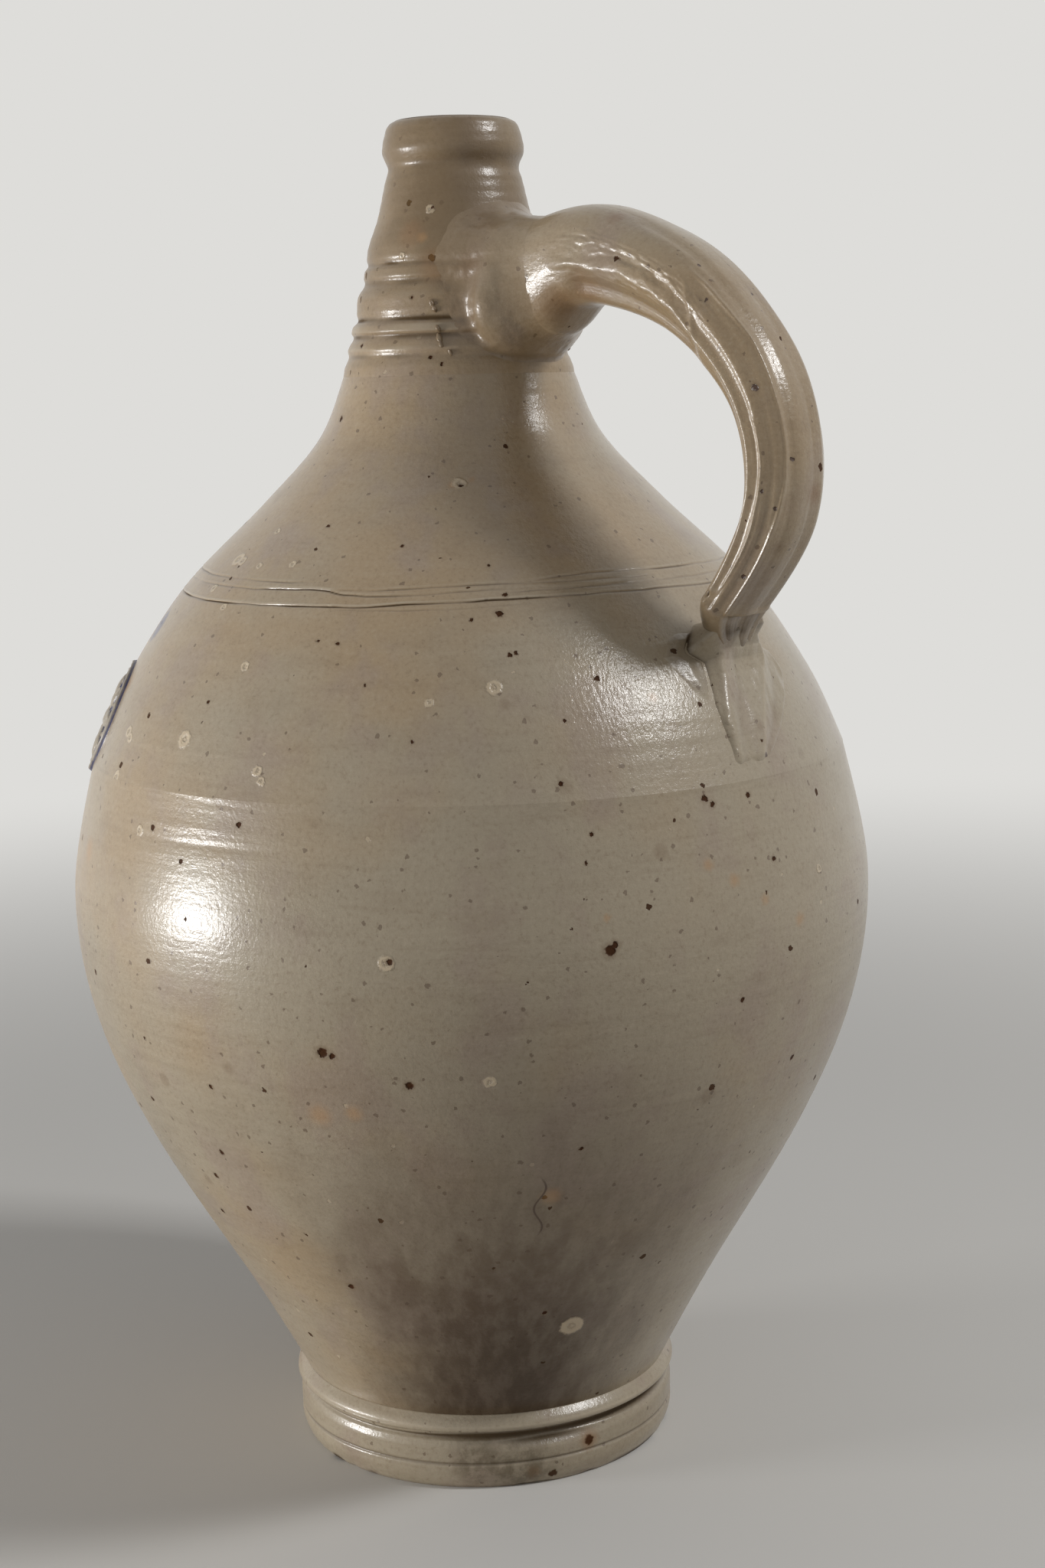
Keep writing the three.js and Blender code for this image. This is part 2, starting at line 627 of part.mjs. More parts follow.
// One rosette across the joint of the body's two halves, laid on the curve of the belly.
function rosette(angle) {
  const centreHeight = seamHeight + ROSETTE_MIDDLE_ABOVE_SEAM;
  const turn = THREE.MathUtils.degToRad(angle);
  const up = normalAt(bellyCurve, centreHeight).x;
  const place = (reach, spoke, lift) => {
    const height = centreHeight + reach * Math.sin(spoke) * up;
    const radius = radiusAt(bellyCurve, height);
    const normal = normalAt(bellyCurve, height);
    const round = turn + (reach * Math.cos(spoke)) / radius;
    const out = radius + normal.x * lift;
    const top = height + normal.y * lift;
    return new THREE.Vector3(out * Math.cos(round), out * Math.sin(round), top);
  };
  const petal = (spoke) => {
    const swell = Math.cos((ROSETTE_PETALS * spoke) / 2) ** 2;
    return ROSETTE_FIELD_RELIEF + ROSETTE_PETAL_RELIEF * swell;
  };
  const rimInside = ROSETTE_RADIUS - ROSETTE_RIM_WIDTH;
  const petalTip = rimInside - ROSETTE_RIM_WIDTH;
  const back = Array.from({ length: ROSETTE_BACK_RINGS }, (_, i) => ({
    reach: ROSETTE_RADIUS * (1 - i / ROSETTE_BACK_RINGS),
    lift: () => LUTING_GAP,
  }));
  const rings = [
    { reach: ROSETTE_BOSS_RADIUS - ROSETTE_STEP, lift: () => ROSETTE_BOSS_RELIEF },
    { reach: ROSETTE_BOSS_RADIUS + ROSETTE_STEP, lift: petal },
    { reach: petalTip, lift: petal },
    { reach: petalTip + ROSETTE_STEP, lift: () => ROSETTE_FIELD_RELIEF },
    { reach: rimInside, lift: () => ROSETTE_FIELD_RELIEF },
    { reach: rimInside + ROSETTE_STEP, lift: () => ROSETTE_RIM_RELIEF },
    { reach: ROSETTE_RADIUS, lift: () => ROSETTE_RIM_RELIEF },
    ...back,
  ];
  const sections = rings.map((ring) => {
    const spots = [];
    for (let i = 0; i < ROSETTE_SPOKES; i++) {
      const spoke = (2 * Math.PI * i) / ROSETTE_SPOKES;
      spots.push(place(ring.reach, spoke, ring.lift(spoke)));
    }
    return spots;
  });
  return loft(sections);
}

const glaze = 0xb3a897;
const pieces = [
  ['foot_ring', footRing(), salt(0xa99f8e)],
  ['lower_body', lowerBody(), salt(0x9c907e)],
  ['upper_body', upperBody(), salt(glaze)],
  ['neck', neck(), salt(0xa89b86)],
  ['handle', handle(), salt(0xa6977f, 0.35)],
  ['handle_root_clay', rootClay(), salt(0xa5937b)],
  ['handle_tail_clay', tailClay(), salt(0xaaa292)],
  ['rosette_front', rosette(180), salt(0x5c6478)],
  ['rosette_right', rosette(180 + ROSETTE_SIDE_ANGLE), salt(0x5c6478)],
  ['rosette_left', rosette(180 - ROSETTE_SIDE_ANGLE), salt(0x5c6478)],
];

const jug = new THREE.Group();
for (const [name, geometry, material] of pieces) {
  const piece = new THREE.Mesh(geometry, material);
  piece.name = name;
  jug.add(piece);
}

export default jug;
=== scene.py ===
import math

import bpy
import numpy as np
from mathutils import Matrix, Vector


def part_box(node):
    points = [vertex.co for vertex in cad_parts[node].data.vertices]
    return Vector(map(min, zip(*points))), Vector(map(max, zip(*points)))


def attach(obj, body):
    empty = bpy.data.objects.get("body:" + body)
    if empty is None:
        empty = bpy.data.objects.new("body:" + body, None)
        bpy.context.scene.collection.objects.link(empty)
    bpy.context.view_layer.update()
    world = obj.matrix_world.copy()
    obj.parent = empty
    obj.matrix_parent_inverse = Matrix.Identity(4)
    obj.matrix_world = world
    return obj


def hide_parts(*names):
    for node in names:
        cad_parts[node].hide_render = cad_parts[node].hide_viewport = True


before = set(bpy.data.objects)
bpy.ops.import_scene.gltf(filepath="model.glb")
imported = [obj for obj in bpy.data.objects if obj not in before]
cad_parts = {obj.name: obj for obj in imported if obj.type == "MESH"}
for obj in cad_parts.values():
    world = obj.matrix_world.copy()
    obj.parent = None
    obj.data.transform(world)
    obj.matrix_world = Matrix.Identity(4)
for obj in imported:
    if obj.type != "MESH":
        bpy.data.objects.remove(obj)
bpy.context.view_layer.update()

# FOOT RING
# A coil of stoneware clay turned true round the base: a rolled lower part with one fine line,
# a deep groove, and a sharp ridge where it meets the body. Salt-glazed grey, brown in the groove
# and darkened there with painted shade, and stained along the bottom edge where it stood on the
# kiln's shelf.
MM = 0.001
FOOT_BASE_RADIUS = 57.7
FOOT_ROLL_RADIUS = 58.9
FOOT_GROOVE_RADIUS = 56.6
FOOT_GROOVE_HEIGHT = 16.6
FOOT_RIDGE_RADIUS = 59.6
FOOT_LINE_HEIGHT = 7.6
FOOT_LINE_DEPTH = 0.5
FOOT_RING_WIDTH = 8
BODY_FOOT_RADIUS = 57.2
BODY_COLUMNS = 400
FOOT_ROWS = 110
WEDGE_ANGLE = math.radians(-26)
SHARP_EDGE = math.radians(60)
# Marks on the foot, as (degrees round the jug, height, radius) and size.
FOOT_IRON = [((-13, 11, 58.9), 1.9), ((-25, 3, 58.4), 1.7)]
FOOT_HALOS = [((-13, 11, 58.9), 4.6), ((-31, 4.5, 58.8), 3.2)]
FOOT_KILN = [((-35, 6, 58.8), 15), ((-47, 9, 58.8), 11)]

foot_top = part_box("foot_ring")[1].z / MM
foot_bore = FOOT_BASE_RADIUS - FOOT_RING_WIDTH


def eased(stations, heights):
    """Radii at the heights, on a curve through (height, radius) stations that never swings past."""
    height, radius = np.array(stations, float).T
    step = np.diff(height)
    slope = np.diff(radius) / step
    lean = np.zeros_like(radius)
    lean[0], lean[-1] = slope[0], slope[-1]
    for i in range(1, len(slope)):
        below, above = slope[i - 1], slope[i]
        if below * above > 0:
            lean[i] = 2 * below * above / (below + above)
    i = np.clip(np.searchsorted(height, heights, side="right") - 1, 0, len(step) - 1)
    t = (heights - height[i]) / step[i]
    start = (1 + 2 * t) * (1 - t) ** 2 * radius[i] + t * (1 - t) ** 2 * step[i] * lean[i]
    end = t**2 * (3 - 2 * t) * radius[i + 1] + t**2 * (t - 1) * step[i] * lean[i + 1]
    return start + end


def unevenness(x, y, z, seed):
    """Smooth noise from -1 to 1, over a lattice one unit apart."""
    x, y, z = np.broadcast_arrays(x, y, z)
    spots = np.stack([x, y, z], -1)
    cell = np.floor(spots).astype(np.int64)
    part = spots - cell
    part = part * part * (3 - 2 * part)
    total = np.zeros(x.shape)
    for corner in np.ndindex(2, 2, 2):
        at = cell + np.array(corner)
        code = at[..., 0] * 73856093 ^ at[..., 1] * 19349663 ^ at[..., 2] * 83492791
        code = (code ^ (seed * 2654435761)) & 0x7FFFFFFF
        code = ((code ^ (code >> 13)) * 1274126177) & 0x7FFFFFFF
        code = ((code ^ (code >> 15)) * 2246822519) & 0x7FFFFFFF
        share = np.prod(np.where(np.array(corner) == 1, part, 1 - part), -1)
        total += share * (code / 0x3FFFFFFF - 1)
    return total


def dent(offset, width):
    """A soft hollow or ridge: 1 in its middle and gone two widths away."""
    return np.exp(-((offset / width) ** 2))


def rising(value, start, end):
    """0 before start, 1 after end, and smooth between."""
    share = np.clip((value - start) / (end - start), 0, 1)
    return share * share * (3 - 2 * share)


def to_piece(name, spots, faces, stain_and_shade=None):
    """A smooth-shaded object from points in millimetres. Its stains, 1 for grime or painted shade
    in a groove and -1 for a worn pale edge, go with the points for the glaze to read."""
    mesh = bpy.data.meshes.new(name)
    mesh.from_pydata((np.asarray(spots) * MM).tolist(), [], faces)
    mesh.shade_smooth()
    mesh.set_sharp_from_angle(angle=SHARP_EDGE)
    layer = mesh.attributes.new("stain_and_shade", "FLOAT", "POINT")
    if stain_and_shade is not None:
        layer.data.foreach_set("value", np.asarray(stain_and_shade, np.float32))
    piece = bpy.data.objects.new(name, mesh)
    bpy.context.scene.collection.objects.link(piece)
    return piece


def turned(name, section, columns, worked, stained):
    """A pot wall turned from its section, a ring of (radius, height, outside) points that climbs
    on the outside. Outside points go in by what `worked` gives for their angle and height."""
    radius, height, outside = np.array(section, float).T
    angle = np.arange(columns) * 2 * math.pi / columns
    reach = radius[:, None] - worked(angle[None, :], height[:, None]) * outside[:, None]
    stains = stained(angle[None, :], height[:, None]) * outside[:, None]
    spots = []
    stain_and_shade = []
    first = []
    for i in range(len(radius)):
        first.append(len(spots))
        if radius[i] < 1e-6:
            spots.append((0, 0, height[i]))
            stain_and_shade.append(0)
        else:
            level = np.full(columns, height[i])
            spots.extend(zip(reach[i] * np.cos(angle), reach[i] * np.sin(angle), level))
            stain_and_shade.extend(stains[i])
    faces = []
    closed = radius[0] < 1e-6
    for a in range(len(radius) - closed):
        b = (a + 1) % len(radius)
        low, high = first[a], first[b]
        for j in range(columns):
            k = (j + 1) % columns
            if radius[a] < 1e-6:
                faces.append((low, high + k, high + j))
            elif radius[b] < 1e-6:
                faces.append((low + j, low + k, high))
            else:
                faces.append((low + j, low + k, high + k, high + j))
    return to_piece(name, spots, faces, stain_and_shade)


class Glaze:
    """One fired surface as a node material. Lengths are millimetres on the jug."""

    def __init__(self, name):
        self.material = bpy.data.materials.new(name)
        self.material.use_nodes = True
        self.tree = self.material.node_tree
        self.shader = self.tree.nodes["Principled BSDF"]
        spot = self.add("ShaderNodeTexCoord").outputs["Object"]
        self.place = self.vector("SCALE", spot, scale=1 / MM)
        parts = self.add("ShaderNodeSeparateXYZ")
        self.feed(parts.inputs[0], self.place)
        self.height = parts.outputs["Z"]
        self.angle = self.number("ARCTAN2", parts.outputs["Y"], parts.outputs["X"])
        wander = self.add("ShaderNodeTexNoise")
        self.feed(wander.inputs["Vector"], self.place)
        self.feed(wander.inputs["Scale"], 0.9)
        self.feed(wander.inputs["Detail"], 3.0)
        drift = self.vector("SUBTRACT", wander.outputs["Color"], (0.5, 0.5, 0.5))
        self.wandering = self.vector("ADD", self.place, self.vector("SCALE", drift, scale=1.5))
        self.stain_and_shade = self.add("ShaderNodeAttribute", attribute_name="stain_and_shade").outputs["Fac"]
        self.relief = []
        self.bare = []

    def add(self, kind, **settings):
        node = self.tree.nodes.new(kind)
        for key, value in settings.items():
            setattr(node, key, value)
        return node

    def feed(self, socket, value):
        if isinstance(value, bpy.types.NodeSocket):
            self.tree.links.new(value, socket)
        else:
            socket.default_value = value

    def number(self, operation, *values):
        node = self.add("ShaderNodeMath", operation=operation)
        for socket, value in zip(node.inputs, values):
            self.feed(socket, value)
        return node.outputs[0]

    def vector(self, operation, *values, scale=None):
        node = self.add("ShaderNodeVectorMath", operation=operation)
        for socket, value in zip(node.inputs, values):
            self.feed(socket, value)
        if scale is not None:
            self.feed(node.inputs["Scale"], scale)
        return node.outputs["Value" if operation in ("DISTANCE", "LENGTH") else "Vector"]

    def ramp(self, value, start, end, low=0.0, high=1.0):
        """Smooth change from low to high while the value goes from start to end."""
        node = self.add("ShaderNodeMapRange", interpolation_type="SMOOTHSTEP")
        for name, given in zip(
            ("Value", "From Min", "From Max", "To Min", "To Max"), (value, start, end, low, high)
        ):
            self.feed(node.inputs[name], given)
        return node.outputs["Result"]

    def times(self, *values):
        total = values[0]
        for value in values[1:]:
            total = self.number("MULTIPLY", total, value)
        return total

    def plus(self, *values):
        total = values[0]
        for value in values[1:]:
            total = self.number("ADD", total, value)
        return total

    def tint(self, share, under, over):
        """One colour laid over another where share is 1."""
        node = self.add("ShaderNodeMix", data_type="RGBA")
        self.feed(node.inputs[0], share)
        self.feed(node.inputs[6], under)
        self.feed(node.inputs[7], over)
        return node.outputs[2]

    def cloud(self, size, detail=2.0, rough=0.5, stretch=(1, 1, 1), shift=0.0):
        """Noise from 0 to 1 whose patches are about `size` across."""
        node = self.add("ShaderNodeTexNoise")
        spot = self.place
        if stretch != (1, 1, 1) or shift:
            mapping = self.add("ShaderNodeMapping")
            self.feed(mapping.inputs["Vector"], spot)
            self.feed(mapping.inputs["Scale"], stretch)
            self.feed(mapping.inputs["Location"], (shift, shift, shift))
            spot = mapping.outputs[0]
        self.feed(node.inputs["Vector"], spot)
        self.feed(node.inputs["Scale"], 1 / size)
        self.feed(node.inputs["Detail"], detail)
        self.feed(node.inputs["Roughness"], rough)
        return node.outputs["Fac"]

    def specks(self, spacing, radius, share, soft=0.12, shift=0.0):
        """Scattered specks: one for a share of the cells of that spacing."""
        spot = self.vector("ADD", self.wandering, (shift, shift, shift))
        node = self.add("ShaderNodeTexVoronoi")
        self.feed(node.inputs["Vector"], spot)
        self.feed(node.inputs["Scale"], 1 / spacing)
        chance = self.add("ShaderNodeSeparateColor")
        self.feed(chance.inputs[0], node.outputs["Color"])
        picked = self.ramp(chance.outputs[0], 1 - share, 1)
        gap = self.times(node.outputs["Distance"], spacing)
        return self.ramp(self.number("SUBTRACT", self.times(picked, radius), gap), 0, soft)

    def nearness(self, marks):
        """Distance to the nearest mark over its own size: 0 in its middle, 1 at its edge."""
        nearest = None
        for spot, size in marks:
            gap = self.times(self.vector("DISTANCE", self.wandering, spot), 1 / size)
            nearest = gap if nearest is None else self.number("MINIMUM", nearest, gap)
        return nearest

    def raise_by(self, amount):
        self.relief.append(amount)

    def leave_bare(self, share):
        """Where share is 1 no glassy skin lies on the clay."""
        self.bare.append(share)

    def finish(self, colour, roughness, coat):
        bump = self.add("ShaderNodeBump")
        self.feed(bump.inputs["Height"], self.plus(*self.relief))
        self.feed(bump.inputs["Distance"], MM)
        self.feed(bump.inputs["Strength"], 1.0)
        self.feed(self.shader.inputs["Normal"], bump.outputs["Normal"])
        self.feed(self.shader.inputs["Base Color"], colour)
        self.feed(self.shader.inputs["Roughness"], roughness)
        bare = self.plus(*self.bare)
        for name, level, least in (("Coat Weight", coat, 0), ("Specular IOR Level", SHEEN, 0.05)):
            self.shader.inputs[name].default_value = level
            self.feed(self.shader.inputs[name], self.ramp(bare, 0, 1, level, least))
        self.shader.inputs["Coat Roughness"].default_value = COAT_ROUGHNESS
        self.feed(self.shader.inputs["Coat Normal"], bump.outputs["Normal"])
        return self.material


def shade(red, green, blue):
    """A colour written as it looks on a screen, 0 to 255."""
    parts = [value / 255 for value in (red, green, blue)]
    linear = [((v + 0.055) / 1.055) ** 2.4 if v > 0.04045 else v / 12.92 for v in parts]
    return (*linear, 1.0)


COAT_ROUGHNESS = 0.22
SHEEN = 0.3
GREY_CLAY = shade(160, 147, 125)
WARM_CLAY = shade(162, 140, 109)
MAUVE_CLAY = shade(151, 133, 117)
PALE_SLIP = shade(182, 168, 146)
BROWN_SLIP = shade(114, 92, 65)
DIRT_AND_SHADE = shade(76, 60, 42)
IRON = shade(60, 30, 10)
POP = shade(203, 184, 155)
SMUDGE = shade(108, 82, 52)
SPECK = shade(84, 60, 38)
RUSTY_HALO = shade(136, 98, 60)
KILN_STAIN = shade(84, 70, 44)


def salt_glaze(glaze, warmth=0.0, brown=0.0):
    """The jug's common glaze: grey clay under thin glassy salt, warmer towards the neck, with the
    potter's fingers showing as level streaks, and with iron specks that burst through."""
    streaks = glaze.cloud(3.0, 4, 0.6, (0.09, 0.09, 1))
    broad = glaze.cloud(50, 3, 0.55)
    patches = glaze.cloud(9, 3, 0.6, (0.5, 0.5, 1))
    tone = glaze.cloud(24, 3, 0.6, (1, 1, 0.7), 40)
    mottle = glaze.cloud(1.3, 3, 0.7)
    climb = glaze.ramp(glaze.height, 190, 330, 0, 0.3)
    facing = glaze.times(glaze.number("COSINE", glaze.angle), -0.16)
    warm = glaze.plus(broad, climb, facing, warmth)
    colour = glaze.tint(glaze.ramp(warm, 0.36, 0.78), GREY_CLAY, WARM_CLAY)
    colour = glaze.tint(glaze.ramp(tone, 0.48, 0.68, 0, 0.6), colour, MAUVE_CLAY)
    if brown:
        colour = glaze.tint(glaze.ramp(broad, 0.3, 0.7, brown * 0.6, brown), colour, BROWN_SLIP)
    colour = glaze.tint(glaze.ramp(streaks, 0.5, 0.75, 0, 0.12), colour, PALE_SLIP)
    colour = glaze.tint(glaze.ramp(streaks, 0.48, 0.28, 0, 0.13), colour, BROWN_SLIP)
    colour = glaze.tint(glaze.ramp(patches, 0.5, 0.72, 0, 0.14), colour, BROWN_SLIP)
    colour = glaze.tint(glaze.ramp(mottle, 0.5, 0.75, 0, 0.26), colour, PALE_SLIP)
    colour = glaze.tint(glaze.ramp(mottle, 0.5, 0.25, 0, 0.34), colour, BROWN_SLIP)
    fine = glaze.specks(3.4, 0.75, 0.6)
    smudges = glaze.specks(15, 3.2, 0.5, 1.6, shift=53)
    pepper = glaze.specks(9, 1.15, 0.5, shift=31)
    pinholes = glaze.specks(8.2, 0.9, 0.3, shift=77)
    colour = glaze.tint(glaze.times(smudges, 0.3), colour, SMUDGE)
    colour = glaze.tint(glaze.times(fine, 0.6), colour, SPECK)
    colour = glaze.tint(glaze.times(pinholes, 0.45), colour, POP)
    colour = glaze.tint(glaze.times(pepper, 0.9), colour, IRON)
    # Positive stains darken the glaze as grime; in the foot's groove, below the strap's cut and in
    # the tail's hollows they are painted shade too.
    colour = glaze.tint(glaze.ramp(glaze.stain_and_shade, 0.02, 1, 0, 0.95), colour, DIRT_AND_SHADE)
    colour = glaze.tint(glaze.ramp(glaze.stain_and_shade, -0.02, -1, 0, 0.8), colour, PALE_SLIP)
    glaze.leave_bare(glaze.ramp(glaze.stain_and_shade, 0.3, 1, 0, 0.9))
    glaze.raise_by(glaze.times(glaze.cloud(1.4, 3, 0.7), 0.12))
    glaze.raise_by(glaze.times(glaze.cloud(1.5, 3, 0.6, (0.15, 0.15, 1), 13), 0.06))
    glaze.raise_by(glaze.times(streaks, 0.05))
    glaze.leave_bare(pepper)
    glaze.raise_by(glaze.times(pepper, -0.12))
    glaze.raise_by(glaze.times(pinholes, -0.1))
    rough = glaze.ramp(glaze.cloud(16, 3), 0.3, 0.7, 0.34, 0.46)
    rough = glaze.plus(rough, glaze.times(mottle, 0.08), glaze.times(patches, 0.06))
    return colour, rough


def foot_worked(angle, height):
    x, y = np.cos(angle), np.sin(angle)
    lobes = 0.12 * (1 + unevenness(1.5 * x, 1.5 * y, height / 30, 11))
    waver = 0.5 * np.sin(angle + 2)
    line = FOOT_LINE_DEPTH * dent(height - FOOT_LINE_HEIGHT - waver, 0.5)
    off = np.angle(np.exp(1j * (angle - WEDGE_ANGLE)))
    wedge = 1.5 * dent(off, 0.26) * dent(height - 14, 1.5)
    closed = 1.8 * rising(-off, 0.3, 0.9) * (1 - rising(-off, 2.0, 2.6)) * dent(height - 17.2, 1.3)
    nick = 0.5 * rising(unevenness(9 * x, 9 * y, height / 5, 41), 0.45, 0.9) * dent(height, 2)
    return lobes + line + wedge + nick - closed


def foot_stain_and_shade(angle, height):
    x, y = np.cos(angle), np.sin(angle)
    waver = 0.5 * np.sin(angle + 2)
    off = np.angle(np.exp(1j * (angle - WEDGE_ANGLE)))
    closed = rising(-off, 0.3, 0.9) * (1 - rising(-off, 2.0, 2.6))
    # The groove and the wedge where it gapes are darkened as brown grime and as painted shade.
    groove = dent(height - FOOT_GROOVE_HEIGHT + 0.3, 1.1 - 0.6 * closed) * (1 - 0.3 * closed)
    wedge = 0.8 * dent(off, 0.26) * dent(height - 14.3, 1.7)
    line = 0.55 * dent(height - FOOT_LINE_HEIGHT - waver, 0.6)
    ridge = 0.9 * dent(height - 19.6, 0.8) * (0.7 + 0.3 * unevenness(4 * x, 4 * y, 0, 2))
    scars = rising(unevenness(7 * x, 7 * y, height / 4, 14), 0.0, 0.6)
    scars = scars * (1 - rising(height, 0.6, 2.6))
    dirt_and_shade = np.maximum(np.maximum(groove, wedge), np.maximum(line, scars))
    return dirt_and_shade - ridge


foot_stations = [
    (0, FOOT_BASE_RADIUS - 0.9),
    (1.2, FOOT_BASE_RADIUS),
    (5.5, FOOT_ROLL_RADIUS),
    (12.5, FOOT_ROLL_RADIUS),
    (14.8, FOOT_ROLL_RADIUS - 0.7),
    (FOOT_GROOVE_HEIGHT - 0.4, FOOT_GROOVE_RADIUS),
    (FOOT_GROOVE_HEIGHT + 0.7, FOOT_GROOVE_RADIUS),
    (18.6, FOOT_RIDGE_RADIUS - 0.35),
    (19.6, FOOT_RIDGE_RADIUS),
    (20.6, FOOT_RIDGE_RADIUS - 0.4),
    (foot_top, BODY_FOOT_RADIUS),
]
foot_heights = np.linspace(0, foot_top, FOOT_ROWS)
foot_section = [(foot_bore, 0, 0)]
foot_section += [(r, z, 1) for r, z in zip(eased(foot_stations, foot_heights), foot_heights)]
foot_section += [(foot_bore, foot_top, 0)]
foot = turned("foot_ring_glazed", foot_section, BODY_COLUMNS, foot_worked, foot_stain_and_shade)


def on_round(degrees, height, radius):
    """A point in millimetres on a round wall."""
    angle = math.radians(degrees)
    return (radius * math.cos(angle), radius * math.sin(angle), height)


glaze = Glaze("foot_glaze")
colour, rough = salt_glaze(glaze, warmth=-0.1)
halo = glaze.nearness([(on_round(*place), size) for place, size in FOOT_HALOS])
spot = glaze.nearness([(on_round(*place), size) for place, size in FOOT_IRON])
colour = glaze.tint(glaze.ramp(halo, 1, 0.2, 0, 0.7), colour, RUSTY_HALO)
colour = glaze.tint(glaze.ramp(spot, 1, 0.6, 0, 0.9), colour, IRON)
kiln = glaze.nearness([(on_round(*place), size) for place, size in FOOT_KILN])
patchy = glaze.ramp(glaze.cloud(4, 3, 0.65), 0.35, 0.6, 0.2, 0.65)
kiln = glaze.times(glaze.ramp(kiln, 1, 0.3), patchy)
colour = glaze.tint(kiln, colour, KILN_STAIN)
glaze.leave_bare(glaze.ramp(spot, 1, 0.6))
foot.data.materials.append(glaze.finish(colour, rough, coat=0.75))
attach(foot, "root")
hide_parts("foot_ring")

# LOWER BODY
# The lower half of the pot, thrown upwards from a thick floor to the widest part of the belly.
# Grey-beige stoneware under salt glaze; wood ash turned it brown low on one side of the front,
# and painted shade darkens that brown further there and towards the foot.
SEAM_RADIUS = 113.8
WALL = 6
FLOOR_THICKNESS = 10
# The inside of the floor, as (radius, height over the middle of the floor).
FLOOR_CURVE = [(38, 6), (26, 0), (0, 0)]
LOWER_STATIONS = [
    (BODY_FOOT_RADIUS, 0), (73.2, 30), (101.8, 80), (117, 118), (121.2, 155), (SEAM_RADIUS, 193),
]
LOWER_STEPS = 56
INSIDE_EVERY = 8
SEAM_LINE_DEPTH = 0.16
SEAM_ROUTE = [
    (-107, 217.1), (-73, 213.4), (-51, 214.9), (-40, 215.4), (-19, 214.2), (1, 215.9),
    (24, 214.9), (90, 215.6), (170, 214.4), (225, 216),
]
CREASE_ROUTE = [
    (-112, 204, 0), (-97, 203.6, 0.12), (-89, 203.3, 0.16), (-78, 203.5, 0.14), (-68, 203, 0.06),
    (-60, 203, 0), (100, 203, 0),
]
# Where glaze burst, blushed, took up iron or was dabbed: degrees round the jug, height, and size.
BURSTS = [
    (-96.2, 204.4, 1.5), (-42.5, 142.8, 1.6), (-55, 176, 2.0), (-24.3, 55.1, 3.6), (62, 128, 1.7),
    (118, 172, 2.2), (205, 96, 1.8), (-118, 150, 1.3), (10, 188, 1.2), (34, 90, 1.4),
]
RUSTY = [
    (-112.9, 193.9, 5.0), (-61, 133, 3.4), (-66, 131.5, 4.6), (-27.2, 185.6, 1.6), (88, 150, 4.2),
    (-33.4, 105.2, 4.0), (-11.9, 196, 2.4), (-7.9, 190.8, 2.6), (-2.8, 184, 2.2), (4.1, 176, 2.8),
]
IRON_SPOTS = [
    (-93, 205.9, 1.0), (-76.5, 209.8, 0.9), (-86, 198.6, 0.8), (-28.3, 207.3, 0.7),
    (-29.4, 200, 0.6), (-2.8, 212.1, 0.8), (-10.8, 213.2, 1.1), (-9.6, 211.4, 0.9),
    (6.6, 134.3, 0.9), (-7, 157.5, 0.8), (23.5, 172.8, 0.9), (-0.1, 194.2, 0.9),
    (-27, 177, 1.7), (-26.3, 178.2, 1.2), (-64.2, 150.5, 1.6), (-62.9, 149.6, 1.1),
    (-53, 142, 1.2), (-71, 71, 1.2), (-87, 113, 0.9), (-92, 103, 0.9), (-98, 88, 0.9),
    (-54.6, 176.4, 0.8), (-31.3, 61.9, 0.8), (-83.7, 135.3, 0.8), (-29.6, 120.3, 0.8),
]
LOWER_DABS = [(-131, 195, 5), (180, 194, 5), (129, 196, 6)]
# Wood ash, darkened further with painted shade: the middle of the drift, how far round the jug it
# fades out, and its heights.
ASH_AND_SHADE_DEGREES = -39
ASH_AND_SHADE_SPREAD = (0.95, 0.12)
ASH_AND_SHADE_HEIGHTS = (178, 55)
DEEP_ASH_AND_SHADE_HEIGHTS = (95, 30)
HAIR_DEGREES = -35.1
HAIR_HEIGHTS = (91, 98, 113)
BLUSH = shade(172, 132, 88)
ASH_AND_SHADE = shade(82, 61, 38)
DEEP_ASH_AND_SHADE = shade(54, 37, 20)
HAIR_CRACK = shade(70, 48, 32)
COBALT = shade(34, 40, 88)

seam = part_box("lower_body")[1].z / MM


def swept(stations, steps):
    """Points on a smooth curve through the stations, with equally many between each two."""
    stations = [np.array(s, float) for s in stations]
    last = len(stations) - 1
    points = []
    for i in range(steps * last + 1):
        leg, part = divmod(i, steps)
        t = part / steps
        if leg == last:
            leg, t = last - 1, 1.0
        before = stations[max(leg - 1, 0)]
        here, there = stations[leg], stations[leg + 1]
        after = stations[min(leg + 2, last)]
        out, back = (there - before) / 2, (after - here) / 2
        points.append(
            (2 * here - 2 * there + out + back) * t**3
            + (3 * there - 3 * here - 2 * out - back) * t**2
            + out * t
            + here
        )
    return np.array(points)


def inset(outline, thickness):
    """An outline moved inwards, square to itself."""
    along = np.gradient(outline, axis=0)
    along /= np.linalg.norm(along, axis=1)[:, None]
    return outline + thickness * np.stack([-along[:, 1], along[:, 0]], 1)


def round_trip(angle, route):
    """A route's (degrees, value, ...) stations followed round the jug; gives each later column."""
    stations = np.array(sorted(route), float)
    degrees = np.degrees(angle)
    columns = [np.interp(degrees, stations[:, 0], c, period=360) for c in stations.T[1:]]
    return columns[0] if len(columns) == 1 else columns


def seam_line(angle, height):
    x, y = np.cos(angle), np.sin(angle)
    route = round_trip(angle, SEAM_ROUTE) + 0.35 * unevenness(6 * x, 6 * y, 0, 17)
    shown = 0.25 + 0.75 * unevenness(1.7 * x + 3, 1.7 * y + 4, 0, 21) ** 2
    return shown * dent(height - route, 0.45)


def crease_line(angle, height):
    """A soft fold left low on the joint's left side."""
    level, depth = round_trip(angle, CREASE_ROUTE)
    return depth * dent(height - level, 1.1) - 0.6 * depth * dent(height - level - 4, 1.0)


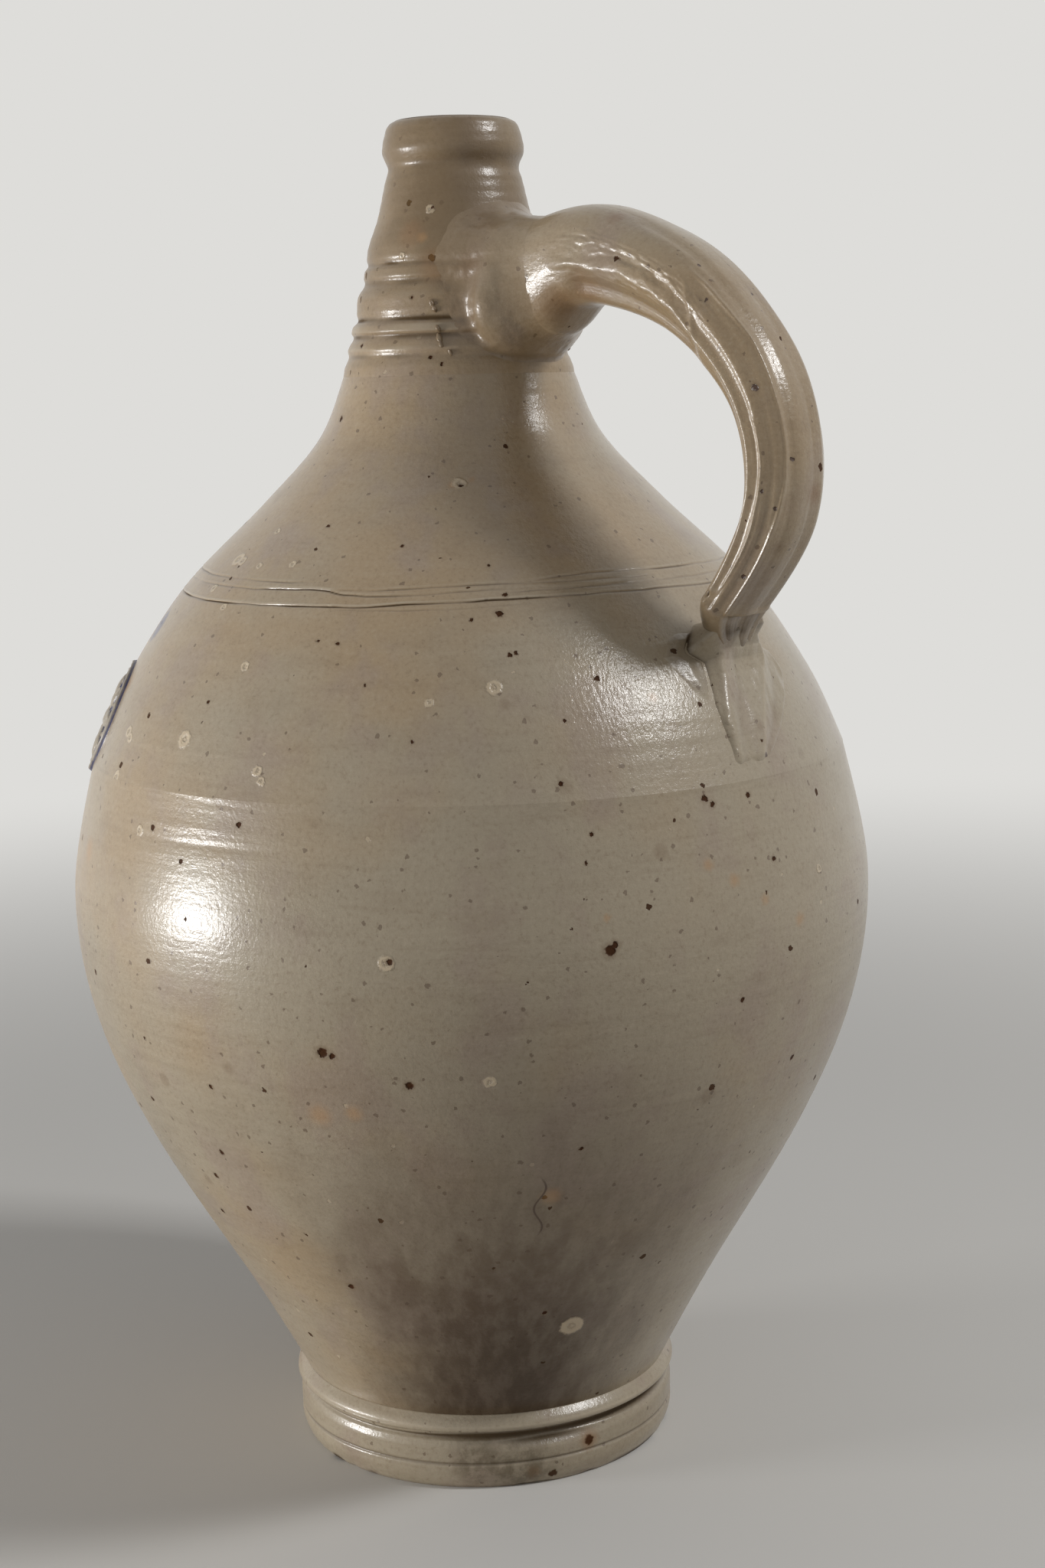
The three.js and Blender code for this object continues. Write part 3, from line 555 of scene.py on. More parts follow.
def thrown(angle, height):
    """How far the potter's fingers left the wall inside the true round."""
    x, y = np.cos(angle), np.sin(angle)
    lobes = 0.2 * (1 + unevenness(1.2 * x + 5, 1.2 * y, height / 70, 3))
    wander = 2.2 * unevenness(2 * x, 2 * y + 9, height / 22, 5)
    strength = 0.5 + 0.5 * unevenness(1.5 * x, 1.5 * y, height / 12, 8)
    ridges = 0.05 * strength**2 * (1 + np.sin(2 * math.pi * height / 4.7 - angle + wander))
    fine = 0.012 * (1 + unevenness(0.9 * x, 0.9 * y, height / 0.9, 9))
    lines = SEAM_LINE_DEPTH * seam_line(angle, height) + crease_line(angle, height)
    return lobes + ridges + fine + lines


def lower_stained(angle, height):
    return 0.4 * seam_line(angle, height)


lower_outline = swept(LOWER_STATIONS, LOWER_STEPS) + (0, foot_top)
lower_inside = inset(lower_outline, WALL)
lower_inside = lower_inside[lower_inside[:, 1] < seam - 1][::INSIDE_EVERY]
lower_section = [(0, 0, 0), (foot_bore, 0, 0), (foot_bore, foot_top, 0)]
lower_section += [(r, z, 1) for r, z in lower_outline]
lower_section += [(SEAM_RADIUS - WALL, seam, 0)]
lower_section += [(r, z, 0) for r, z in lower_inside[::-1]]
lower_section += [(r, FLOOR_THICKNESS + z, 0) for r, z in FLOOR_CURVE]
lower = turned("lower_body_glazed", lower_section, BODY_COLUMNS, thrown, lower_stained)


def on_wall(outline, marks):
    """Marks given round the jug as points on a wall, each with its size."""
    radius = [np.interp(height, outline[:, 1], outline[:, 0]) for _, height, _ in marks]
    return [(on_round(mark[0], mark[1], r), mark[2]) for mark, r in zip(marks, radius)]


def scarred(glaze, colour, outline, bursts, rusty, iron):
    """Bursts with a pale rim round a pit, rusty blushes, and iron spots with a soft brown edge."""
    blush = glaze.nearness(on_wall(outline, rusty))
    colour = glaze.tint(glaze.ramp(blush, 1.1, 0.1, 0, 0.5), colour, BLUSH)
    burst = glaze.nearness(on_wall(outline, bursts))
    colour = glaze.tint(glaze.ramp(burst, 1.15, 0.85, 0, 0.75), colour, POP)
    ring = glaze.times(glaze.ramp(burst, 0.42, 0.32), glaze.ramp(burst, 0.1, 0.22))
    colour = glaze.tint(glaze.times(ring, 0.28), colour, BROWN_SLIP)
    spots = glaze.nearness(on_wall(outline, iron))
    colour = glaze.tint(glaze.ramp(spots, 1.9, 0.9, 0, 0.45), colour, BROWN_SLIP)
    colour = glaze.tint(glaze.ramp(spots, 1.05, 0.75, 0, 0.93), colour, IRON)
    rim = glaze.times(glaze.ramp(burst, 1.3, 0.85), glaze.ramp(burst, 0.35, 0.7))
    glaze.raise_by(glaze.times(rim, 0.16))
    glaze.raise_by(glaze.times(ring, -0.2))
    glaze.leave_bare(glaze.ramp(spots, 1.05, 0.75))
    glaze.raise_by(glaze.times(glaze.ramp(spots, 1.0, 0.5), -0.3))
    return colour


glaze = Glaze("lower_body_glaze")
colour, rough = salt_glaze(glaze)
# The drift is real brown ash and painted shade together, darkest on the front between the two
# lamps.
across = glaze.number("ABSOLUTE", glaze.plus(glaze.angle, math.radians(-ASH_AND_SHADE_DEGREES)))
ragged = glaze.times(glaze.number("SUBTRACT", glaze.cloud(26, 4, 0.6, (1, 1, 0.3)), 0.5), 0.8)
drips = glaze.cloud(5, 3, 0.6, (1, 1, 0.1), 5)
ash_and_shade = glaze.ramp(glaze.plus(across, ragged), *ASH_AND_SHADE_SPREAD)
ash_and_shade = glaze.times(ash_and_shade, glaze.ramp(glaze.height, *ASH_AND_SHADE_HEIGHTS))
ash_and_shade = glaze.times(ash_and_shade, glaze.ramp(drips, 0.3, 0.65, 0.75, 1))
glaze.leave_bare(glaze.times(ash_and_shade, 0.45))
colour = glaze.tint(glaze.times(ash_and_shade, 0.88), colour, ASH_AND_SHADE)
# Towards the foot it is darker still, as painted shade.
deep = glaze.times(glaze.ramp(glaze.height, *DEEP_ASH_AND_SHADE_HEIGHTS), ash_and_shade)
colour = glaze.tint(glaze.times(deep, 0.6), colour, DEEP_ASH_AND_SHADE)
colour = scarred(glaze, colour, lower_outline, BURSTS, RUSTY, IRON_SPOTS)
bottom, middle, top = HAIR_HEIGHTS
hair = glaze.number("SINE", glaze.times(glaze.plus(glaze.height, -middle), 0.46))
hair = glaze.plus(glaze.angle, math.radians(-HAIR_DEGREES), glaze.times(hair, 0.014))
hair = glaze.ramp(glaze.number("ABSOLUTE", hair), 0.0042, 0.0016)
hair = glaze.times(hair, glaze.ramp(glaze.height, bottom, bottom + 3))
hair = glaze.times(hair, glaze.ramp(glaze.height, top, top - 4))
colour = glaze.tint(glaze.times(hair, 0.8), colour, HAIR_CRACK)
dab = glaze.nearness(on_wall(lower_outline, LOWER_DABS))
colour = glaze.tint(glaze.ramp(dab, 1, 0.5, 0, 0.75), colour, COBALT)
lower.data.materials.append(glaze.finish(colour, rough, coat=0.75))
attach(lower, "root")
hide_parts("lower_body")

# UPPER BODY
# The shoulder, thrown as a second piece and joined to the lower half with wet clay, then drawn
# in to the neck. A pointed tool left a band of fine wavering lines round it, each with a pale
# burr along its upper side.
NECK_FOOT_RADIUS = 34.7
UPPER_STATIONS = [
    (SEAM_RADIUS, 0), (103.7, 22), (84.7, 50), (60.1, 74), (42.6, 93), (NECK_FOOT_RADIUS, 111),
]
UPPER_STEPS = 70
# Each line's way round the jug: degrees, height and depth.
SHOULDER_LINES = [
    [
        (-121, 272.2, 0.26), (-102, 271.4, 0.26), (-81, 271.3, 0.2), (-74, 271.5, 0.05),
        (-55, 271.2, 0), (-40, 271, 0.05), (-33, 271.1, 0.16), (-27, 271.7, 0.24),
        (-19, 272.4, 0.24), (40, 271.8, 0.22), (120, 272, 0.22), (200, 272.3, 0.24),
    ],
    [
        (-117, 269.7, 0.2), (-101, 269.2, 0.22), (-90, 269.1, 0.24), (-76, 269.7, 0.4),
        (-71, 269.3, 0.5), (-68, 268.5, 0.4), (-63, 268, 0.3), (-55, 268.2, 0.22),
        (-39, 269.3, 0.2), (0, 269.3, 0.16), (90, 269.5, 0.2), (180, 269.4, 0.2),
    ],
    [
        (-74, 269.4, 0), (-68, 269.5, 0.2), (-61, 269.4, 0.22), (-45, 270.4, 0.22),
        (-39, 270.6, 0.2), (-18, 270.7, 0.2), (10, 270.6, 0), (200, 270, 0),
    ],
    [(-38, 268.4, 0), (-32, 268.6, 0.22), (-18, 269, 0.22), (6, 269, 0), (180, 269, 0)],
    [
        (-121, 265.7, 0.36), (-104, 265.2, 0.36), (-75, 265.3, 0.38), (-62, 265.3, 0.38),
        (-56, 265.9, 0.38), (-45, 266.4, 0.36), (-17, 267.2, 0.34), (40, 266.5, 0.3),
        (120, 266, 0.3), (200, 265.8, 0.34),
    ],
    [(-70, 264.4, 0), (-66, 264.5, 0.18), (-47, 264.5, 0.2), (-39, 265.2, 0.16), (-28, 265.6, 0)],
]
SHOULDER_LINE_WIDTH = 0.25
LINED_HEIGHTS = (262, 274.5)
LINED_STEP = 0.17
SHOULDER_BURSTS = [
    (-90.4, 230.1, 2.4), (-107.6, 229, 1.7), (-106.2, 227.6, 1.5), (-74.8, 223.9, 1.4),
    (-73.9, 221.3, 1.2), (-49.8, 241.7, 1.2), (-40, 245.1, 2.0), (-82.9, 249.8, 1.4),
    (-97.2, 284.2, 1.2), (-44.8, 297, 1.9), (-104, 276.4, 2.4), (-101.5, 276.1, 1.7),
    (-93.5, 275.2, 1.2), (-83.5, 276, 1.2), (-104.5, 268.6, 1.4), (-96, 264.3, 1.3),
    (-106.5, 216.7, 1.9), (60, 250, 1.7), (140, 236, 1.5), (150, 290, 1.5),
]
SHOULDER_RUSTY = [(-41, 298, 1.6), (-47, 296.6, 1.8), (-120, 240, 5), (95, 244, 4), (-15, 240, 2.2)]
SHOULDER_IRON = [
    (-107, 315.2, 1.0), (-38, 263.4, 1.1), (-44.3, 296.4, 0.7), (-36.5, 268, 0.7),
    (-31.8, 220.5, 0.7), (-43, 262, 0.6), (-39, 275.5, 0.6), (-37, 253, 0.7), (-36, 253.4, 0.6),
    (-66, 256.5, 0.6), (-70, 257, 0.6), (-23.5, 246, 0.9), (-60, 246, 0.5), (-52, 232, 0.6),
    (-88, 240, 0.6), (-80, 286, 0.7), (-58, 281, 0.6), (-30, 236, 0.6),
]
SHOULDER_DABS = [(-123.5, 256, 7), (-134, 252, 4), (-176, 256, 5), (176, 252, 4), (124, 256, 6)]
WIPED_AT = (-17, 241, 103)
WIPED_REACH = (34, 8)

neck_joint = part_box("upper_body")[1].z / MM


def line_depths(angle, height):
    """Depth of the tooled lines here, and how high the burr above each one stands."""
    x, y = np.cos(angle), np.sin(angle)
    cut = 0
    burr = 0
    for i, route in enumerate(SHOULDER_LINES):
        level, depth = round_trip(angle, route)
        level = level + 0.14 * unevenness(14 * x + i, 14 * y, i, 30)
        depth = depth * (0.8 + 0.45 * unevenness(9 * x, 9 * y + i, i, 33))
        cut = np.maximum(cut, depth * dent(height - level, SHOULDER_LINE_WIDTH))
        burr = np.maximum(burr, 0.35 * depth * dent(height - level - 0.6, 0.28))
    return cut, burr


def shoulder_worked(angle, height):
    cut, burr = line_depths(angle, height)
    return thrown(angle, height) + cut - burr


def shoulder_stained(angle, height):
    cut, burr = line_depths(angle, height)
    return 2.8 * cut - 6 * burr + 0.4 * seam_line(angle, height)


upper_outline = swept(UPPER_STATIONS, UPPER_STEPS) + (0, seam)
upper_inside = inset(upper_outline, WALL)
kept = (upper_inside[:, 1] > seam + 3) & (upper_inside[:, 1] < neck_joint - 3)
upper_inside = upper_inside[kept][::INSIDE_EVERY]
line_rows = np.arange(*LINED_HEIGHTS, LINED_STEP)
plain = [(r, z) for r, z in upper_outline if not line_rows[0] < z < line_rows[-1]]
lined = [(np.interp(z, upper_outline[:, 1], upper_outline[:, 0]), z) for z in line_rows]
upper_section = [(SEAM_RADIUS - WALL, seam, 0)]
upper_section += [(r, z, 1) for r, z in sorted(plain + lined, key=lambda spot: spot[1])]
upper_section += [(NECK_FOOT_RADIUS - WALL, neck_joint, 0)]
upper_section += [(r, z, 0) for r, z in upper_inside[::-1]]
upper = turned(
    "upper_body_glazed", upper_section, BODY_COLUMNS, shoulder_worked, shoulder_stained
)

glaze = Glaze("shoulder_glaze")
colour, rough = salt_glaze(glaze)
colour = scarred(glaze, colour, upper_outline, SHOULDER_BURSTS, SHOULDER_RUSTY, SHOULDER_IRON)
dab = glaze.nearness(on_wall(upper_outline, SHOULDER_DABS))
colour = glaze.tint(glaze.ramp(dab, 1, 0.5, 0, 0.8), colour, COBALT)
wiped = glaze.ramp(glaze.vector("DISTANCE", glaze.place, on_round(*WIPED_AT)), *WIPED_REACH)
creases = glaze.cloud(2.2, 3, 0.65, (1.6, 1.6, 0.45), 3)
glaze.raise_by(glaze.times(creases, wiped, 0.22))
upper.data.materials.append(glaze.finish(colour, rough, coat=0.9))
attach(upper, "root")
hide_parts("upper_body")

# NECK
# A third thrown piece, set on the shoulder: turned rings, a plain throat and a collared mouth.
# The glaze is warmer and browner here, with dirt in the grooves and pale worn rings.
# Heights above the joint and radii: the rings, throat and collar outside, then the bore.
NECK_TURNING = [
    (0, NECK_FOOT_RADIUS), (2.2, 34.3), (4, 33.6), (6, 32.8), (7.6, 33.1), (9.2, 32.4),
    (11.6, 31.2), (12.8, 31.8), (14.2, 31.5), (16.4, 29.7), (18.5, 30), (22.6, 29.7),
    (27.4, 27.3), (28.6, 27.6), (30.4, 27.3), (32.3, 26.2), (34, 26.5), (46.4, 22.8),
    (56.5, 20.4), (59.8, 19.5), (64.8, 21.1), (70.9, 19.9), (72.6, 18.9), (73.5, 17.3),
]
NECK_COLUMNS = 280
NECK_ROW_STEP = 0.3
MOUTH_BORE_RADIUS = 13.8
BORE_TURNING = [
    (0, 28.7), (17, 24.4), (34, 20.5), (46, 16.8), (60, MOUTH_BORE_RADIUS),
    (71.5, MOUTH_BORE_RADIUS),
]
RING_WINDOW = 25
THROAT_RISE = 45
THROAT_BROWN = shade(102, 81, 52)
NECK_FLUSH = shade(150, 108, 68)
NECK_FLUSHES = [((-57, 358, 27), 7), ((-75, 367, 24), 6)]
NECK_BURSTS = [(-62, 374, 1.3), (-80, 361, 1.0)]
NECK_RUSTY = [(-66, 366, 2.2)]
NECK_IRON = [
    (-104, 336, 0.7), (-58, 332, 0.7), (-52, 330, 0.6), (-70, 349, 0.6), (-60, 374.3, 0.6),
]

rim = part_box("neck")[1].z / MM
neck_rise = NECK_TURNING[-1][0]
neck_heights = np.arange(0, neck_rise - 0.5, NECK_ROW_STEP)
neck_heights = np.concatenate([neck_heights, neck_rise - np.array([0.3, 0.05, 0])])
neck_outline = np.stack([eased(NECK_TURNING, neck_heights), neck_joint + neck_heights], 1)
window = np.hanning(RING_WINDOW) / np.hanning(RING_WINDOW).sum()
padded = np.pad(neck_outline[:, 0], RING_WINDOW // 2, mode="edge")
neck_rings = neck_outline[:, 0] - np.convolve(padded, window, mode="valid")


def neck_worked(angle, height):
    x, y = np.cos(angle), np.sin(angle)
    lobes = 0.15 * (1 + unevenness(1.2 * x + 5, 1.2 * y, height / 40, 3))
    ridges = 0.03 * (1 + np.sin(2 * math.pi * height / 3.1 - angle))
    fade = np.clip((height - neck_joint) / 3, 0, 1)
    return (1 - fade) * thrown(angle, height) + fade * (lobes + ridges)


def neck_stained(angle, height):
    x, y = np.cos(angle), np.sin(angle)
    ring = np.interp(height, neck_outline[:, 1], neck_rings)
    patchy = 0.75 + 0.5 * unevenness(4 * x, 4 * y, height / 9, 23)
    lip = 0.7 * dent(height - rim + 1.5, 0.7) * rising(unevenness(5 * x, 5 * y, 0, 8), -0.3, 0.4)
    return -ring * 2.0 * patchy + lip


bore = np.array(BORE_TURNING, float)
neck_section = [(r, z, 1) for r, z in neck_outline]
neck_section += [(MOUTH_BORE_RADIUS + 1.2, rim, 0), (MOUTH_BORE_RADIUS + 0.3, rim - 0.8, 0)]
neck_section += [(r, neck_joint + z, 0) for z, r in bore[::-1]]
neck = turned("neck_glazed", neck_section, NECK_COLUMNS, neck_worked, neck_stained)

glaze = Glaze("neck_glaze")
colour, rough = salt_glaze(glaze, warmth=0.1)
throat = glaze.ramp(glaze.height, neck_joint, neck_joint + THROAT_RISE, 0.12, 0.75)
throat = glaze.times(throat, glaze.ramp(glaze.cloud(22, 3), 0.25, 0.7, 0.6, 1))
colour = glaze.tint(throat, colour, THROAT_BROWN)
flush = glaze.nearness([(on_round(*place), size) for place, size in NECK_FLUSHES])
colour = glaze.tint(glaze.ramp(flush, 1, 0.2, 0, 0.3), colour, NECK_FLUSH)
colour = scarred(glaze, colour, neck_outline, NECK_BURSTS, NECK_RUSTY, NECK_IRON)
neck.data.materials.append(glaze.finish(colour, rough, coat=0.6))
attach(neck, "root")
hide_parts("neck")

# HANDLE
# A strap pulled from one lump of clay, wet fingers leaving lengthwise flutes and ridges along it.
# It starts level out of the neck, bends over and comes down on the shoulder, where its end was
# cut and pressed into a pad of soft clay.
STRAP_SIDES = 240
STRAP_ROWS = 330
END_ROWS = 24
ROUTE_STEPS = 120
STRAP_SQUARENESS = 2.5
# Reach from the jug's axis, height above the neck's joint, thickness.
STRAP_STATIONS = [
    (42.4, 30, 28.5), (63.3, 31.3, 28.2), (94.6, 18.8, 23.4), (118.4, -7.2, 18.1),
    (121.5, -38.9, 15.5),
]
END_ABOVE_SEAM = 37
END_STANDOFF = 8.4
END_THICKNESS = 11.3
ROOT_WIDTH = 30
END_WIDTH = 26
STRAP_SHRINK = 0.45
# Where the outer face was cut, how far the end runs on into the clay, how deep the cut is, and how
# far the left edge is pinched in over the length of the flap left there.
CUT_AT = 151.5
END_BURIED = 9.5
END_STEP = 1.9
END_PINCH = 9
END_FLAP = 11.5
# Each ridge (+) or flute (-) of the strap: how high, how wide in degrees of the section, where it
# starts and ends along the strap, and its way along it as (millimetres, degrees).
CORNER_WAY = [
    (0, 182), (17, 187), (28, 187), (37, 182), (46, 183), (58, 186), (70, 191), (87, 190),
    (103, 186), (111, 187), (118, 189), (125, 194), (135, 191), (145, 187), (160, 187),
]
STRAP_RIDGES = [
    (0.75, 6, 6, 170, CORNER_WAY),
    (-0.45, 5, 30, 170, [(s, d - 12) for s, d in CORNER_WAY]),
    (-2.0, 16, 12, 75, [(0, 214), (160, 214)]),
    (-0.8, 13, 75, 170, [(0, 214), (160, 214)]),
    (
        0.45, 3.2, 94, 152,
        [(90, 182), (96, 176), (100, 169), (106, 167), (110, 166), (114, 169), (121, 173),
         (134, 171), (146, 175), (160, 176)],
    ),
    (-0.8, 12, 55, 170, [(0, 152), (60, 150), (160, 150)]),
    (
        0.6, 3.5, 52, 158,
        [(55, 136), (61, 133), (67, 132), (73, 129), (80, 123), (93, 123), (105, 121),
         (114, 123), (120, 128), (126, 133), (136, 132), (151, 132)],
    ),
    (-0.35, 8, 30, 170, [(0, 116), (60, 112), (160, 114)]),
    (0.2, 8, 20, 170, [(0, 96), (160, 96)]),
    (-0.3, 8, 60, 170, [(0, 80), (160, 79)]),
    (0.2, 6, 30, 170, [(0, 62), (160, 60)]),
    (-0.7, 10, 30, 170, [(0, 38), (160, 40)]),
    (0.45, 4, 50, 170, [(0, 20), (160, 18)]),
    (0.6, 6, -5, 170, [(0, 353), (160, 351)]),
    (-0.5, 20, 12, 170, [(0, 275), (160, 272)]),
]
CRINKLED = (4, 76)
HOLE_AT = (149, 192)
LOBE_DROP = 12
LOBE_START = 11
# Marks on the strap: how far along it, degrees of the section, and size.
# The two broad flushes under the root are a rusty hue, darkened further as painted shade.
STRAP_FLUSHES_AND_SHADE = [(8, 235, 11), (22, 225, 9), (27, 122, 4), (117, 75, 4)]
ROOT_FLUSH = ((24, -17, 357), 6)
STRAP_IRON = [
    (91, 151, 1.0), (55.5, 118, 0.6), (64.7, 147, 0.6), (66.6, 83, 0.6), (116, 165, 0.6),
    (120, 135, 0.6), (138.7, 146, 0.7), (30, 60, 0.8), (75, 30, 0.7), (108, 20, 0.8),
    (109, 111, 0.7),
]
STRAP_FLUSH_AND_SHADE = shade(124, 88, 54)
STRAP_BROWN = shade(104, 82, 54)

root_height = neck_joint + STRAP_STATIONS[0][1]
end_height = seam + END_ABOVE_SEAM


def wall_radius(height):
    return np.interp(height, upper_outline[:, 1], upper_outline[:, 0])


def wall_normal(height, radius_at=wall_radius):
    """A wall's outward direction at a height, as (outwards, up)."""
    up = (radius_at(height - 2) - radius_at(height + 2)) / 4
    length = np.sqrt(1 + up**2)
    return 1 / length, up / length


end_out, end_up = wall_normal(end_height)
strap_end = (
    wall_radius(end_height) + END_STANDOFF * end_out,
    end_height + END_STANDOFF * end_up,
    END_THICKNESS,
)
strap_stations = [(x, neck_joint + z, t) for x, z, t in STRAP_STATIONS] + [strap_end]
fine_route = swept(strap_stations, ROUTE_STEPS)
fine_steps = np.linalg.norm(np.diff(fine_route[:, :2], axis=0), axis=1)
travelled = np.concatenate([[0], np.cumsum(fine_steps)])
strap_length = travelled[-1]
travel = np.linspace(0, strap_length, STRAP_ROWS)
travel = np.append(travel, strap_length + np.linspace(0, END_BURIED, END_ROWS + 1)[1:])
on_route = np.minimum(travel, strap_length)
route = np.stack([np.interp(on_route, travelled, fine_route[:, k]) for k in (0, 1)], 1)
fine_along = np.gradient(fine_route[:, :2], axis=0)
along = np.stack([np.interp(on_route, travelled, fine_along[:, k]) for k in (0, 1)], 1)
along /= np.linalg.norm(along, axis=1)[:, None]
route += along * (travel - on_route)[:, None]
thick = np.interp(on_route, travelled, fine_route[:, 2])
wide = np.interp(on_route, travelled, np.linspace(ROOT_WIDTH, END_WIDTH, len(fine_route)))
turn = np.arange(STRAP_SIDES) * 2 * math.pi / STRAP_SIDES


def squared(value):
    return np.sign(value) * np.abs(value) ** (2 / STRAP_SQUARENESS)


def pulled(travel, turn):
    """How far ridges and flutes lift the strap's skin, and the grime or wear that goes with them.
    """
    degrees = np.degrees(turn) % 360
    lift = 0
    stain_and_shade = 0
    for height, width, start, end, way in STRAP_RIDGES:
        stations = np.array(way, float)
        middle = np.interp(travel, stations[:, 0], stations[:, 1])
        off = (degrees - middle + 180) % 360 - 180
        shown = rising(travel, start, start + 10) * (1 - rising(travel, end - 10, end))
        amount = height * shown * dent(off, width)
        lift = lift + amount
        stain_and_shade = stain_and_shade - 0.3 * amount / max(1, width / 5)
    return lift, stain_and_shade


def fingered(travel, turn):
    """The strap's whole relief: ridges, the fold across its side, crinkles, and the step where its
    outer face was cut off short of the shoulder. Below the cut its face is darkened as grimy clay
    and as painted shade."""
    degrees = np.degrees(turn) % 360
    lift, stain_and_shade = pulled(travel, turn)
    past = travel - CUT_AT
    smudged = rising(past, 0, 1.2)
    lift, stain_and_shade = lift * (1 - smudged), stain_and_shade * (1 - smudged)
    fold_at = np.interp(degrees, [150, 156, 165, 177, 186, 192], [56, 58, 60, 64, 68, 70])
    fold = dent(travel - fold_at, 1.2) * rising(degrees, 148, 156) * (1 - rising(degrees, 188, 196))
    band = rising(degrees, 148, 158) * (1 - rising(degrees, 196, 214))
    band = band * rising(travel, CRINKLED[0], 20) * (1 - rising(travel, 62, CRINKLED[1]))
    crinkle = unevenness(travel / 4.2, degrees / 3.2, 0, 51)
    crinkle = crinkle + 0.7 * unevenness(travel / 1.9, degrees / 2.0, 3, 52)
    streak = unevenness(travel / 26, degrees / 2.4, 0, 53)
    waver = unevenness(travel / 12, np.cos(turn) * 2.5, np.sin(turn) * 2.5, 54)
    lip = dent(past + 0.9, 0.8) * dent(degrees - 78, 34)
    hole = dent(travel - HOLE_AT[0], 1.3) * dent(degrees - HOLE_AT[1], 7)
    hole_rim = dent(travel - HOLE_AT[0] + 2, 1.0) * dent(degrees - HOLE_AT[1] + 2, 10)
    outer = rising(degrees, 30, 46) * (1 - rising(degrees, 124, 140))
    step = END_STEP * rising(past, 0.1, 2.2) * outer
    step = step + 0.12 * smudged * unevenness(travel / 3, degrees / 30, 0, 55)
    # Below the cut the outer face is darkened: grimy clay and painted shade of the recess there.
    smear = 0.5 + 0.2 * unevenness(travel / 2.5, degrees / 40, 0, 56)
    smear = smear * outer * rising(past, 0, 0.8)
    lift = lift + 0.35 * fold + 0.16 * band * crinkle + 0.03 * streak + 0.12 * waver
    lift = lift + 0.45 * lip - 1.5 * hole + 0.3 * hole_rim - step
    stain_and_shade = stain_and_shade + 0.1 * streak - 0.35 * lip + 1.2 * hole - 0.5 * hole_rim
    stain_and_shade = stain_and_shade - 0.2 * fold - 0.08 * band * crinkle + smear
    return lift, stain_and_shade


turn_grid, travel_grid = np.meshgrid(turn, travel)
across = squared(np.cos(turn_grid)) * wide[:, None] / 2
half_thick = np.repeat(thick[:, None] / 2, STRAP_SIDES, axis=1)
swelling = LOBE_DROP * (1 - rising(travel, -LOBE_START, LOBE_START))[:, None]
half_thick += np.where(np.sin(turn_grid) < 0, swelling, 0)
outward = squared(np.sin(turn_grid)) * half_thick
lift, strap_stain_and_shade = fingered(travel_grid, turn_grid)
move = STRAP_SHRINK - lift
length = np.sqrt(across**2 + outward**2)
across -= move * across / length
outward -= move * outward / length
pinched = END_PINCH * np.clip((travel - CUT_AT) / END_FLAP, 0, 1.3)[:, None] ** 1.5
across += pinched * (0.5 - across / wide[:, None])
x = route[:, 0, None] - along[:, 1, None] * outward
z = route[:, 1, None] + along[:, 0, None] * outward
strap_rings = np.stack([x, across, z], -1)


def lofted(name, rings, stain_and_shade=None):
    """A skin over rings of equally many points, closed at both ends."""
    rows, sides = rings.shape[:2]
    spots = np.concatenate([rings.reshape(-1, 3), [rings[0].mean(0), rings[-1].mean(0)]])
    if stain_and_shade is not None:
        stain_and_shade = np.concatenate([np.ravel(stain_and_shade), [0, 0]])
    faces = []
    for i in range(rows - 1):
        for j in range(sides):
            k = (j + 1) % sides
            faces.append((i * sides + j, i * sides + k, (i + 1) * sides + k, (i + 1) * sides + j))
    last = (rows - 1) * sides
    for j in range(sides):
        k = (j + 1) % sides
        faces.append((rows * sides, k, j))
        faces.append((rows * sides + 1, last + j, last + k))
    return to_piece(name, spots, faces, stain_and_shade)


def on_strap(travel_at, degrees):
    """A point of the strap's skin."""
    row = np.argmin(np.abs(travel[:STRAP_ROWS] - travel_at))
    return tuple(strap_rings[row, round(degrees / 360 * STRAP_SIDES) % STRAP_SIDES])


strap = lofted("handle_strap", strap_rings, strap_stain_and_shade)

glaze = Glaze("handle_glaze")
colour, rough = salt_glaze(glaze, warmth=0.05, brown=0.28)
# Rusty flushes; under the root their darker brown is also painted shade.
flush = glaze.nearness([(on_strap(s, d), size) for s, d, size in STRAP_FLUSHES_AND_SHADE] + [ROOT_FLUSH])
colour = glaze.tint(glaze.ramp(flush, 1.1, 0.1, 0, 0.5), colour, STRAP_FLUSH_AND_SHADE)
spot = glaze.nearness([(on_strap(s, d), size) for s, d, size in STRAP_IRON])
colour = glaze.tint(glaze.ramp(spot, 1.8, 0.9, 0, 0.4), colour, BROWN_SLIP)
colour = glaze.tint(glaze.ramp(spot, 1.05, 0.75, 0, 0.93), colour, IRON)
glaze.raise_by(glaze.times(glaze.ramp(spot, 1.0, 0.5), -0.25))
reach = glaze.vector("LENGTH", glaze.vector("MULTIPLY", glaze.place, (1, 1, 0)))
colour = glaze.tint(glaze.ramp(reach, 52, 26, 0, 0.55), colour, STRAP_BROWN)
strap_glaze = glaze.finish(colour, glaze.plus(rough, -0.06), coat=0.7)
strap.data.materials.append(strap_glaze)
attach(strap, "root")
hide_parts("handle")

